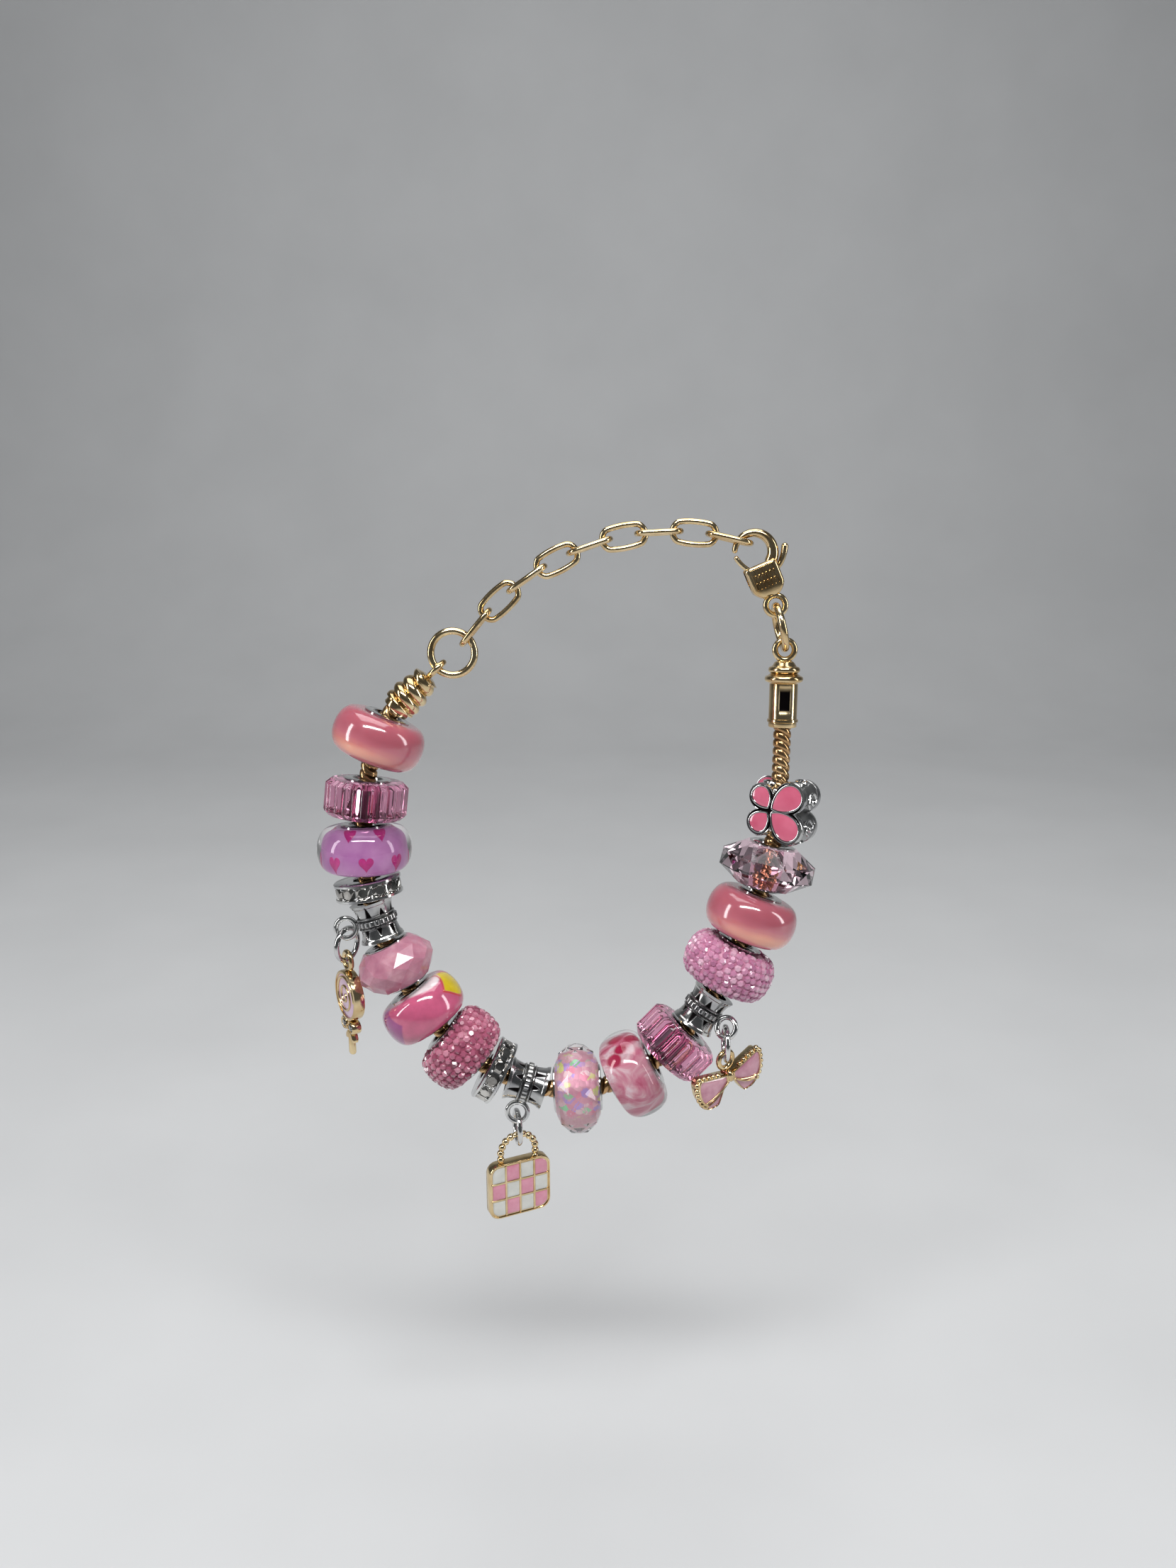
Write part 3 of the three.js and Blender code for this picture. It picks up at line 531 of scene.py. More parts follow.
# poured enamels, glossy and slightly domed
enamelGloss = {"Roughness": 0.1, "IOR": 1.5, **gloss}
butterflyEnamel = cloudy("pinkPouredEnamel", [(0.3, "#CC5C78"), (0.7, "#D8708A")], 2.6, enamelGloss)
lilacEnamel = cloudy("lilacPouredEnamel", [(0.3, "#C69CBA"), (0.7, "#D8B6CE")], 2.6, enamelGloss)
whiteEnamel = cloudy("whitePouredEnamel", [(0.3, "#CDCDC6"), (0.7, "#DCDCD6")], 2.0, enamelGloss)
checkEnamel = cloudy("softPinkPouredEnamel", [(0.3, "#D6849C"), (0.7, "#E29CB0")], 2.0, enamelGloss)
bowEnamel = cloudy("dustyPinkPouredEnamel", [(0.3, "#B4748A"), (0.5, "#C28698"), (0.7, "#CE9AA8")], 1.8,
                   enamelGloss)
print("materials made")


# Beads

bead = {"bore": 2.75, "rim": 3.5, "rimThickness": 0.42, "coreOuter": 2.6, "coreInner": 2.1, "seat": 0.3,
        "shoulder": 3.75}
tubes = {"heart_bead": 4.3, "glitter_bead": 4.1, "blossom_bead": 4.2}  # radius of each coloured tube

# Facets round, depth of the glass, radius at the mouth, and rows as shares of the half width and the height
cut = {
    "opal_bead": {"sides": 11, "depth": 1.1, "mouth": 3.9, "rows": [(0.84, 0.66), (1, 0.16)], "ridge": False},
    "glitter_bead": {"sides": 14, "depth": 1.1, "mouth": 3.9,
                     "rows": [(0.8, 0.8), (0.97, 0.35)], "ridge": True},
    "crystal_bead": {"sides": 9, "depth": 1.4, "mouth": 4.2, "rows": [(1, 0.35)], "ridge": False},
}


def sizeOf(name):
    # half the width, and the height of the glass above its middle
    width, length = strung[name][:2]
    return width / 2, length / 2 - bead["seat"]


# A hollow tube with a rounded flare at each end
def corePiece(name, middleTube=True):
    end = strung[name][1] / 2
    rim, thick, outer, inner = bead["rim"], bead["rimThickness"], bead["coreOuter"], bead["coreInner"]
    flare = [(inner, end - 0.3), (inner + 0.2, end), (rim - 0.25, end), (rim, end - 0.12),
             (rim - 0.02, end - thick), (rim - 0.4, end - thick - 0.05), (outer + 0.1, end - thick - 0.15)]
    if middleTube:
        shapes = lathe(mirrored(flare + [(outer, end - 1.1)]))
    else:
        # short grommets, so that the chain shows through the middle of the bead
        grommet = flare + [(outer, end - 1.3), (inner, end - 1.3)]
        shapes = [lathe(grommet), lathe([(r, -y) for r, y in grommet])]
    addPiece(name + "_lining", moved(shapes, places[name]), brightSilver, name + "_core")


def beadPiece(name, part, shape, material, sharp=40, middleTube=True):
    addPiece(name + part, moved(shape, places[name]), material, name, sharp=sharp)
    corePiece(name, middleTube)


# Outline of a rounded bead: the radius swells from the shoulder by a power of the cosine of the height angle
def swell(name, fullness=0.62, steps=25, inset=0.0):
    half, end = sizeOf(name)
    end, shoulder = end - inset, bead["shoulder"]
    t = np.linspace(-math.pi / 2, math.pi / 2, steps)
    radius = shoulder + (half - inset - shoulder) * np.maximum(np.cos(t), 0) ** fullness
    outer = np.stack([radius, end * np.sin(t)], -1)
    return np.vstack([[[bead["bore"], -end]], outer, [[bead["bore"], end]]])


# A cut bead: the rows go in from the mouth to the middle and out again
def cutShape(name):
    (half, end), form = sizeOf(name), cut[name]
    rows = [(form["mouth"], -end)] + [(half * wide, -end * high) for wide, high in form["rows"]]
    return faceted(mirrored(rows, [(half, 0)] if form["ridge"] else []), form["sides"], form["depth"])


# Painted light: the light inside is painted as a lighter soft band below the middle, strongest towards the
# front
def catEyeBeads():
    for name, down in (("cat_eye_bead_left", 1), ("cat_eye_bead_right", -1)):

        def paint(angle, height, radius):
            low = down * height
            band = smooth(low, -1.2, 1.9) * (1 - 0.5 * smooth(low, 2.3, 3.4))
            return {"glow": band * (0.62 + 0.38 * np.sin(angle + 0.3) ** 3)}

        shape = lathe(swell(name, 0.66, 49), paint=paint)
        beadPiece(name, "_resin", shape, catEyeResin)


fluted = {"flutes": 24, "depth": 0.42, "chamfer": 0.75, "sharp": 22}


# A drum whose radius dips in a half wave between flutes, less so at its chamfered ends
def flutedBeads():
    for name in ("fluted_bead_left", "fluted_bead_right"):
        (radius, end), chamfer = sizeOf(name), fluted["chamfer"]
        outer = mirrored([(radius - chamfer - 0.3, -end), (radius - chamfer, -end + chamfer * 0.1),
                          (radius, -end + chamfer)])

        def grow(angle, height, r):
            wave = np.abs(np.sin(angle * fluted["flutes"] / 2))
            return -fluted["depth"] * (1 - wave) * (r > radius - chamfer - 0.2)

        shape = lathe([(bead["bore"], -end), *outer, (bead["bore"], end)], fluted["flutes"] * 8, grow)
        beadPiece(name, "_acrylic", shape, pinkAcrylic, fluted["sharp"])


# A coloured tube in a clear casing, whose curved glass magnifies it to nearly the full width
def casedBead(name, band, casing=None):
    end, mouth = sizeOf(name)[1] - 0.12, bead["bore"] + 0.05
    t = np.linspace(-1, 1, 25)
    sleeve = np.stack([tubes[name] - 0.35 * t**4, end * t], -1)
    sleeve = np.vstack([[[mouth, -end]], sleeve, [[mouth, end]]])
    addPiece(name + "_sleeve", moved(lathe(sleeve), places[name]), band)
    beadPiece(name, "_casing", casing or lathe(swell(name)), clearGlass, 1 if casing else 40)
    return sleeve


hearts = {"across": 1.95, "tall": 2.0, "around": 6, "rows": (-2.3, 1.3), "rise": 0.06, "from": 0.2,
          "steps": [(0, 1), (0.8, 1), (1, 0.3), (1, -1.0), (0.8, -1.5), (0, -1.5)]}


# A heart outline: across is the cube of a sine, and up is a sum of four cosines
def heartOutline(steps=40):
    t = np.linspace(0, turn, steps, endpoint=False)
    up = (13 * np.cos(t) - 5 * np.cos(2 * t) - 2 * np.cos(3 * t) - np.cos(4 * t)) / 16
    # the chain runs down here, so the tip is at plus
    return np.stack([hearts["across"] / 2 * np.sin(t) ** 3, -hearts["tall"] / 2 * up], -1)


def roundSleeve(flat, sleeve, angle, up):
    # wraps flat points round a swelling sleeve: across becomes an angle, and up a height on its outline
    height = up + flat[:, 1]
    radius = np.interp(height, sleeve[1:-1, 1], sleeve[1:-1, 0])
    around = angle + flat[:, 0] / radius
    radius = radius + hearts["rise"] * flat[:, 2]
    return np.stack([radius * np.cos(around), height, radius * np.sin(around)], -1)


def heartBead():
    sleeve = casedBead("heart_bead", lilacGlaze)
    shapes = []
    for row, up in enumerate(hearts["rows"]):
        for k in range(hearts["around"]):
            angle = (k + 0.5 * row) * turn / hearts["around"] + hearts["from"]
            shape = pillow(heartOutline(), hearts["steps"])
            shapes.append({**shape, "points": roundSleeve(shape["points"], sleeve, angle, up)})
    addPiece("heart_bead_hearts", moved(shapes, places["heart_bead"]), magentaPrint)


painted = {"body": "#C95F82", "white": "#E9DDE0", "yellow": "#D9C024", "red": "#C8402A", "purple": "#9A3480"}


def blendColours(base, layers):
    # layers of colour, each over the last by its own mask
    colour = np.broadcast_to(linear(base), layers[0][0].shape + (4,)).copy()
    for mask, tone in layers:
        colour += np.clip(mask, 0, 1)[..., None] * (linear(tone) - colour)
    return colour


# Each patch is a hump round the bead with a wavy edge; angle 0 is outwards on the loop, a quarter turn is the
# front, and height is along the chain
def paintedBead():
    def paint(angle, height, radius):
        def near(at, spread):
            return np.exp(-(((angle - at + math.pi) % turn - math.pi) / spread) ** 2)

        wave = 0.35 * np.sin(3 * angle) + 0.25 * np.sin(5 * angle + 1)
        white = (-height - 3.35 + 1.1 * near(2.5, 0.6) - 0.1 * wave) / 0.2
        yellowTop = near(3.05, 0.5) * 3.2 + 0.5 * wave
        yellow = (yellowTop - 1.3 - 0.8 * np.abs(height + 0.9)) / 0.15
        redLine = 1 - np.abs(yellowTop - 1.15 - 0.8 * np.abs(height + 0.9)) / 0.22
        purpleTop = near(0.62, 0.6) * 3.2 + 0.4 * wave
        purple = (purpleTop - 1.3 - 0.6 * np.abs(height + 0.6)) / 0.2
        layers = [(white, painted["white"]), (yellow, painted["yellow"]), (redLine, painted["red"]),
                  (purple, painted["purple"])]
        return {"paintColour": blendColours(painted["body"], layers)}

    shape = lathe(swell("painted_bead", steps=65), 256, paint=paint)
    beadPiece("painted_bead", "_glass", shape, lampworkGlass)


chips = {"size": 1.12, "height": 0.46, "sink": 0.12, "jitter": 0.12, "lean": 0.12, "inset": 0.42,
         "rings": [(0.0, -0.25), (0.5, -0.2), (0.5, 0.35), (0.3, 1.0), (0.0, 1.0)]}


# Small cut crystals in staggered rows over the outline: a six-sided crown round a raised table
def chipsOver(profile):
    inner = profile[2:-2]
    arc = runOf(inner)
    rows = int(round(arc[-1] / (chips["size"] * 0.87)))
    slope = np.gradient(inner, axis=0)
    rings, six = np.array(chips["rings"]), np.arange(6) * turn / 6
    shapes = []
    for i in range(rows + 1):
        s = arc[-1] * i / rows
        r, y = (np.interp(s, arc, inner[:, k]) for k in (0, 1))
        dr, dy = (np.interp(s, arc, slope[:, k]) for k in (0, 1))
        norm = math.hypot(dr, dy)
        dr, dy = dr / norm, dy / norm
        count = int(turn * r / chips["size"])
        for k in range(count):
            angle = (k + 0.5 * (i % 2)) * turn / count + rng.normal(0, chips["jitter"]) / r
            out, onward = roundAt(angle)
            normal = unit(dy * out - np.array([0, dr, 0]) + rng.normal(0, chips["lean"], 3))
            first = unit(np.cross(normal, onward))
            second = np.cross(normal, first)
            spin = six + rng.uniform(0, 1.05)
            ring = np.cos(spin)[:, None] * first + np.sin(spin)[:, None] * second
            at = r * out + np.array([0, y, 0]) - chips["sink"] * normal
            points = at + chips["size"] * 1.08 * rings[:, :1, None] * ring[None] \
                + chips["height"] * rings[:, 1:, None] * normal
            tone = np.full(points.shape[:2], rng.beta(2, 2))
            shapes.append(gridShape(points, wrapRows=False, tone=tone))
    return shapes


def sugarBeads():
    for side, base, crystals, slot in (("left", roseResin, roseChips, "sugar_resin_deep"),
                                       ("right", paleResin, paleChips, "sugar_resin_pale")):
        name = "sugar_bead_" + side
        under = swell(name, 0.55, inset=chips["inset"])
        addPiece(name + "_resin", moved(lathe(under), places[name]), base, name)
        addPiece(name + "_crystals", moved(chipsOver(under), places[name]), crystals, sharp=0)
        corePiece(name)


catEyeBeads()
flutedBeads()
heartBead()
beadPiece("opal_bead", "_glass", cutShape("opal_bead"), opalGlass, 0)
paintedBead()
sugarBeads()
casedBead("glitter_bead", foilResin, cutShape("glitter_bead"))
casedBead("blossom_bead", marbledGlass)
beadPiece("crystal_bead", "_glass", cutShape("crystal_bead"), pinkCrystal,
          0, middleTube=False)
print("beads made")


# Spacers and bails

spacer = {"stones": 12, "stone": 1.2, "stoneHeight": 0.38, "stoneSink": 0.5, "rim": 0.5, "prong": 0.24,
          "prongSink": 0.35, "prongUp": 0.75}


# A small brilliant: an eight-sided crown round a table, its girdle set in the band
def stoneShape(radius, height, sides=8):
    t = np.arange(sides) * turn / sides
    rings = [(0, -0.3), (0.9, -0.3), (1, 0), (0.62, 0.8), (0.55, 0.85), (0, 0.88)]
    points = [np.stack([radius * s * np.cos(t + 0.2 * i), radius * s * np.sin(t + 0.2 * i),
                        0 * t + height * h], -1) for i, (s, h) in enumerate(rings)]
    return gridShape(np.stack(points), wrapRows=False)


# Two rims round a band, with stones set round it and a pair of prongs between each two
def stoneSpacers():
    for name in ("stone_spacer_left", "stone_spacer_bottom"):
        place, half, end, rim = places[name], strung[name][0] / 2, strung[name][1] / 2, spacer["rim"]
        profile = mirrored([(2.1, -end + 0.1), (2.3, -end), (half - 0.15, -end), (half, -end + 0.12),
                            (half, -end + rim - 0.08), (half - 0.12, -end + rim), (half - 0.45, -end + rim)])
        addPiece(name + "_rims", moved(lathe(profile), place), brightSilver, name)
        stones, prongs = [], []
        for angle in np.arange(spacer["stones"]) * turn / spacer["stones"]:
            out, onward = roundAt(angle)
            seat = within(place, out * (half - spacer["stoneSink"]), [onward, [0, 1, 0], out])
            stones.append(moved(stoneShape(spacer["stone"], spacer["stoneHeight"]), seat))
            out = roundAt(angle + turn / spacer["stones"] / 2)[0]
            prongs += [out * (half - spacer["prongSink"]) + [0, y * spacer["prongUp"], 0] for y in (-1, 1)]
        addPiece(name + "_stones", stones, foilStone, sharp=0)
        addPiece(name + "_prongs", moved(spheres(prongs, spacer["prong"]), place),
                 brightSilver)


bails = {"bore": 2.15, "waist": 2.72, "streaks": 8, "streakWide": 0.21, "beads": 22, "loopRadius": 1.55,
         "loopWire": 0.4}
loopOffset = 3.25 + bails["loopRadius"] + bails["loopWire"] - 0.3
bailSwing = {"left": 0.0, "bottom": 0.0, "right": math.radians(38)}


# A waisted tube: the belt is beaded by a wave round it, with a groove on each side, and black streaks taper
# from the belt to the flared ends
def bailPieces():
    for side, swing in bailSwing.items():
        name = "bail_" + side
        place = within(places[name], axes=turnedAboutY(swing))
        half, end, waist = strung[name][0] / 2, strung[name][1] / 2, bails["waist"]
        y = np.linspace(-end, end, 97)
        radius = waist + (half - waist - 0.05) * np.abs(y / end) ** 2.2
        radius += 0.1 * smooth(np.abs(y), end - 0.55, end - 0.45)
        profile = np.vstack([[[bails["bore"], -end]], np.stack([radius, y], -1), [[bails["bore"], end]]])

        def streak(angle, height):
            far, half = np.abs(height), np.sign(height)
            cell = angle * bails["streaks"] / turn + 0.25 * half
            share = 0.8 + 0.3 * np.sin(2.4 * np.floor(cell) + half)
            wide = bails["streakWide"] * np.clip(1 - (far - 1.0) / ((end - 1.35) * share), 0, 1) ** 0.8
            off = np.abs(cell % 1 - 0.5)
            return (1 - smooth(off, wide - 0.03, wide + 0.02)) * smooth(far, 0.98, 1.05) * (wide > 0.02)

        def beading(angle):
            return np.abs(np.cos(angle * bails["beads"] / 2))

        def grow(angle, height, r):
            far = np.abs(height)
            belt = (0.3 + 0.16 * beading(angle)) * (1 - smooth(far, 0.34, 0.5))
            twin = 0.24 * np.exp(-(((far - 0.78) / 0.13) ** 2))
            return (r > 2.3) * (belt + twin - 0.1 * streak(angle, height))

        def paint(angle, height, r):
            far = np.abs(height)
            gaps = (1 - beading(angle)) ** 1.5 * (far < 0.45)
            grooves = np.exp(-(((far - 0.56) / 0.1) ** 2)) + np.exp(-(((far - 0.97) / 0.09) ** 2))
            return {"oxide": np.clip(streak(angle, height) + 0.9 * gaps + 0.85 * grooves, 0, 1)}

        addPiece(name + "_tube", moved(lathe(profile, 240, grow, paint), place), castSilver, name)
        loop = moved(wireRing(bails["loopRadius"], bails["loopWire"]), within(place, (loopOffset, 0, 0)))
        addPiece(name + "_loop", loop, brightSilver)


stoneSpacers()
bailPieces()
print("spacers and bails made")


# Butterfly bead: lobes are middles across and up and sizes, and cells are directions, lengths and half-widths

butterfly = {
    "depth": 6.0, "swing": math.radians(32), "wing": 5.1, "tall": 4.5, "waist": 1.9,
    "lobes": [(0.6, 0.5, 0.5), (0.6, -0.5, 0.5), (-0.3, 0.44, 0.4), (-0.3, -0.44, 0.4)],
    "cells": [(37, 5.3, 2.25), (-37, 5.3, 2.25), (128, 3.5, 1.75), (-128, 3.5, 1.75)],
    "scrolls": [20, 52, 108, 150, 210, 252, 308, 340], "collar": 2.0,
    "pour": [(0, -0.02), (0.6, 0.01), (0.93, 0.1), (0.95, 0.4), (0, 0.4)],
}


# Outline of the wings: in each direction, the far side of whichever round lobe reaches furthest
def wingOutline(steps=144):
    u = disc(1, steps)
    far = np.full(steps, butterfly["waist"])
    for x, y, size in butterfly["lobes"]:
        c = np.array([x * butterfly["wing"], y * butterfly["tall"]])
        radius = size * butterfly["wing"] * 0.97
        along, off = u @ c, u[:, 0] * c[1] - u[:, 1] * c[0]
        hit = along + np.sqrt(np.maximum(radius**2 - off**2, 0))
        far = np.where((off**2 < radius**2) & (along > 0), np.maximum(far, hit), far)
    return u * far[:, None]


# A cell or a leaf: pointed at its start and round at the far end
def cellOutline(direction, start, length, wide, steps=48):
    t = np.linspace(0, turn, steps, endpoint=False)
    along = start + length * (0.5 - 0.5 * np.cos(t))
    across = wide * np.sin(t) * np.sin(t / 2) ** 0.6
    c, s = math.cos(direction), math.sin(direction)
    return np.stack([c * along - s * across, s * along + c * across], -1)


# A thick block with the wings' outline, its two faces sunk and poured with enamel inside wire rims
def butterflyBead():
    name = "butterfly_bead"
    place = within(places[name], axes=turnedAboutY(butterfly["swing"]))
    half = butterfly["depth"] / 2
    steps = mirrored([(0, half - 0.3), (0.92, half - 0.3), (0.93, half - 0.02), (0.98, half),
                      (1, half - 0.15), (1, half - 0.9), (0.985, half - 1.0)])

    def paint(points):
        z = np.abs(points[..., 2])
        share = np.array([s[0] for s in steps])[:, None] + 0 * z
        return {"oxide": np.where(share < 0.925, 1.0, np.where(z < half - 0.95, 0.4, 0.0))}

    outline = wingOutline()
    block = moved(pillow(outline, steps, (0, 0), paint), place)
    addPiece(name + "_block", block, castSilver, name, sharp=35)
    enamel, wires = [], []
    for facing in (1, -1):
        face = within(place, axes=[[facing, 0, 0], [0, 1, 0], [0, 0, facing]])
        for direction, length, wide in butterfly["cells"]:
            cell = cellOutline(math.radians(direction), 0.5, length, wide)
            enamel.append(moved(pillow(cell, crowned(half, butterfly["pour"])), face))
            path = np.column_stack([cell, np.full(len(cell), half - 0.12)])
            wires.append(moved(sweep(path, 0.17, 0.14, closed=True, sides=8), face))
    addPiece(name + "_enamel", enamel, butterflyEnamel)
    # scrolls of wire on the side wall, each winding out evenly
    t = np.linspace(0.8, 8.6, 60)
    curl = 0.17 * t
    for angle in np.radians(butterfly["scrolls"]):
        k = int(angle / turn * len(outline))
        at = outline[k % len(outline)]
        step = unit(outline[(k + 3) % len(outline)] - at)
        path = np.column_stack([at + step * (curl * np.cos(t))[:, None], curl * np.sin(t) * 1.15])
        wires.append(moved(sweep(path, 0.22, 0.22, side=(at[0], at[1], 0.01), sides=8), place))
    for end in (-1, 1):
        path = ringPath(butterfly["collar"], 40)[:, [0, 2, 1]] + [0, end * 2.9, 0]
        wires.append(moved(sweep(path, 0.3, 0.35, side=(0, 1, 0), closed=True), place))
    addPiece(name + "_wires", wires, brightSilver)


butterflyBead()
print("butterfly made")


# Snake chain, its end caps and the rings

chain = {"radius": 1.35, "pitch": 1.25, "slant": 0.5, "hook": 0.12, "groove": 0.2, "grooveWide": 0.1,
         "plate": 0.08, "around": 28, "perPitch": 9, "dark": 0.85}


# A tube whose radius drops where one slanted plate ends and the next begins: the plates lean one way on the
# front half and the other way on the back half
def snakeChain():
    reach = np.linspace(0, chainLength, int(chainLength / chain["pitch"] * chain["perPitch"]))
    middle = routeAt(reach)
    run = unit(np.gradient(middle, axis=0))
    out = np.stack([run[:, 1], 0 * reach, -run[:, 0]], -1)
    front = np.array([0, -1.0, 0])
    angle = np.linspace(0, turn, chain["around"], endpoint=False)
    lag = chain["slant"] * np.cos(angle)[None, :] + chain["hook"] * np.cos(2 * angle)[None, :]
    cell = (reach[:, None] / chain["pitch"] + lag) % 1
    dip = np.exp(-((np.minimum(cell, 1 - cell) / chain["grooveWide"]) ** 2))
    radius = chain["radius"] - 0.1 + chain["plate"] * np.sin(math.pi * cell) - chain["groove"] * dip
    ring = np.cos(angle)[None, :, None] * out[:, None] + np.sin(angle)[None, :, None] * front
    points = np.stack([middle[:, 0], 0 * reach, middle[:, 1]], -1)[:, None] + radius[..., None] * ring
    first, last = (points[k] * 0 + points[k].mean(0) for k in (0, -1))
    points = np.concatenate([first[None], points, last[None]])
    # painted shade: the grooves between the plates are darkened
    dark = chain["dark"] * np.concatenate([dip[:1], dip, dip[-1:]])
    shape = gridShape(points @ tilt.T + shift, wrapRows=False, oxide=dark)
    addPiece("snake_chain_plates", shape, chainGold, "snake_chain")


cap = {"wall": 2.1, "bore": 1.65, "seat": 3.0, "pitch": 1.35, "floor": 3.2, "tip": 0.01}
endEye = {"radius": 1.45, "wire": 0.45}
endRing = {"radius": 3.25, "wire": 0.55}
leftCap = {"tube": 1.2, "ridges": [2.7, 2.75, 2.5, 2.2], "coil": 1.8, "relief": 0.8, "neck": 1.3}
rightCap = {"tube": 6.6, "ridges": [2.85, 2.35], "window": 0.35}


def capTop(kind):
    return kind["tube"] + len(kind["ridges"]) * cap["pitch"] + 0.5


def eyeHeight(kind):
    return capTop(kind) + endEye["radius"] + endEye["wire"] - 0.25


startRun, stopRun = unit(route[0] - route[1]), unit(route[-1] - route[-2])
leftMouth = placeOf(*(route[0] - cap["seat"] * startRun), *startRun, shift)
rightMouth = placeOf(*(route[-1] - cap["seat"] * stopRun), *stopRun, shift)


# The left cap is wound like a spring: a round ridge that rises by one coil in each turn
def leftCapPiece():
    tube, top, wall, bore = leftCap["tube"], capTop(leftCap), cap["wall"], cap["bore"] - 0.02
    y = np.linspace(tube - 0.2, top, 110)
    ends = np.interp(y, tube + cap["pitch"] * (np.arange(4) + 0.45), leftCap["ridges"])

    def grow(angle, height, r):
        ridge = np.sqrt(np.abs(np.sin(math.pi * ((height - tube) / leftCap["coil"] - angle / turn))))
        fade = smooth(height, tube - 0.1, tube + 0.5) * (1 - smooth(height, top - 0.7, top - 0.1))
        return np.where(r > bore + 0.01, (ridge - 0.9) * leftCap["relief"] * fade, 0)

    outer = np.stack([np.where(y > top - 0.1, leftCap["neck"], ends - 0.1), y], -1)
    outer[-6:, 0] = np.linspace(1.8, 1.2, 6)
    profile = np.vstack([[(cap["tip"], cap["floor"]), (bore, cap["floor"]), (bore, 0), (wall - 0.1, 0),
                          (wall, 0.15), (wall, tube - 0.25)], outer, [(cap["tip"], top)]])
    eye = within(leftMouth, (0, eyeHeight(leftCap), 0), [[0, 0, 1], [0, 1, 0], [-1, 0, 0]])
    shapes = [moved(lathe(profile, 120, grow), leftMouth), moved(wireRing(**endEye), eye)]
    addPiece("end_cap_left_spring", shapes, paleGold, "end_cap_left")


# The right cap is a plain tube with a window, under two stepped rings
def rightCapPiece():
    top, tube, wall = capTop(rightCap), rightCap["tube"], cap["wall"]
    profile = [(cap["tip"], cap["floor"]), (1.62, cap["floor"]), (1.62, 0), (wall - 0.1, 0), (wall, 0.12),
               (wall, 0.7), (wall + 0.18, 0.8), (wall + 0.18, 1.15), (wall, 1.25)]
    profile += [(wall, h) for h in np.linspace(1.4, tube - 0.15, 14)]
    for radius, base in zip(rightCap["ridges"], (tube, tube + cap["pitch"])):
        profile += [(radius - 0.45 + 0.45 * math.cos(a), base + 0.55 + 0.5 * math.sin(a))
                    for a in np.linspace(-math.pi / 2, math.pi / 2, 9)]
        profile += [(radius - 0.62, base + 1.2)]
    profile += [(1.5, top - 0.25), (1.2, top), (cap["tip"], top)]

    def window(angle, height):
        off = np.abs((angle - math.pi / 2 + math.pi) % turn - math.pi)
        tall = smooth(height, 2.1, 2.3) * (1 - smooth(height, tube - 1.0, tube - 0.8))
        return (1 - smooth(off, 0.42, 0.5)) * tall

    def grow(angle, height, r):
        return np.where((r > 1.9) & (r < 2.2), -rightCap["window"] * window(angle, height), 0)

    # painted shade: the floor of the sunk window is darkened, as shade falls inside the opening
    def paint(angle, height, r):
        return {"oxide": np.where((r < 2.2) & (r > 1.64), window(angle, height), 0)}

    tube3d = moved(lathe(profile, 120, grow, paint), rightMouth)
    addPiece("end_cap_right_tube", tube3d, stampedGold, "end_cap_right", sharp=50)
    eye = moved(wireRing(**endEye), within(rightMouth, (0, eyeHeight(rightCap), 0)))
    addPiece("end_cap_right_eye", eye, paleGold)


def axesAlong(across, up):
    # the frame of a piece on the loop whose own Y runs this way
    return placeOf(0, 0, across, up)["axes"]


rightRingTurn, claspTurn = math.radians(13), math.radians(23.5)
claspAxes = axesAlong(-math.sin(claspTurn), math.cos(claspTurn))
ringAxes = axesAlong(-math.sin(rightRingTurn), math.cos(rightRingTurn))
sideways = np.array([[0, 0, -1], [0, 1, 0], [1, 0, 0]], float)
ringReach = endEye["radius"] - endEye["wire"] - 0.3 - endRing["wire"] + endRing["radius"]


def jumpRings():
    for side, axes in (("left", leftMouth["axes"]), ("right", sideways @ ringAxes)):
        name = "jump_ring_" + side
        shape = moved(wireRing(**endRing, seam=True), {"at": boxMiddle(name), "axes": axes})
        addPiece(name + "_wire", shape, paleGold, name)


link = {"half": 3.2, "halfWidth": 1.65, "wire": 0.45}


# An oval link: a circle whose two halves are drawn apart along Y
def extenderLinks():
    names = sorted(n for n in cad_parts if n.startswith("extender_link"))
    middles = np.array([boxMiddle(n) for n in names])
    flat = middles @ tilt
    step = flat[2:] - flat[:-2]
    inner = np.arctan2(step[:, 2], step[:, 0])
    angles = np.concatenate([[2 * inner[0] - inner[1]], inner, [2 * inner[-1] - inner[-2]]])
    t = np.linspace(0, turn, 64, endpoint=False)
    sway = np.clip(2 * np.sin(t), -1, 1) * (link["half"] - link["halfWidth"])
    path = np.stack([link["halfWidth"] * np.cos(t), link["halfWidth"] * np.sin(t) + sway, 0 * t], -1)
    shape = sweep(path, link["wire"], link["wire"], closed=True)
    for i, (name, at, angle) in enumerate(zip(names, middles, angles)):
        axes = axesAlong(math.cos(angle), math.sin(angle))
        place = {"at": at, "axes": axes if i % 2 else sideways @ axes}
        addPiece(name + "_wire", moved(shape, place), paleGold, name)


snakeChain()
leftCapPiece()
rightCapPiece()
jumpRings()
extenderLinks()
print("chain, caps and rings made")


# Lobster clasp, about the centre of its own eye; case rows are heights, half-widths and half-depths

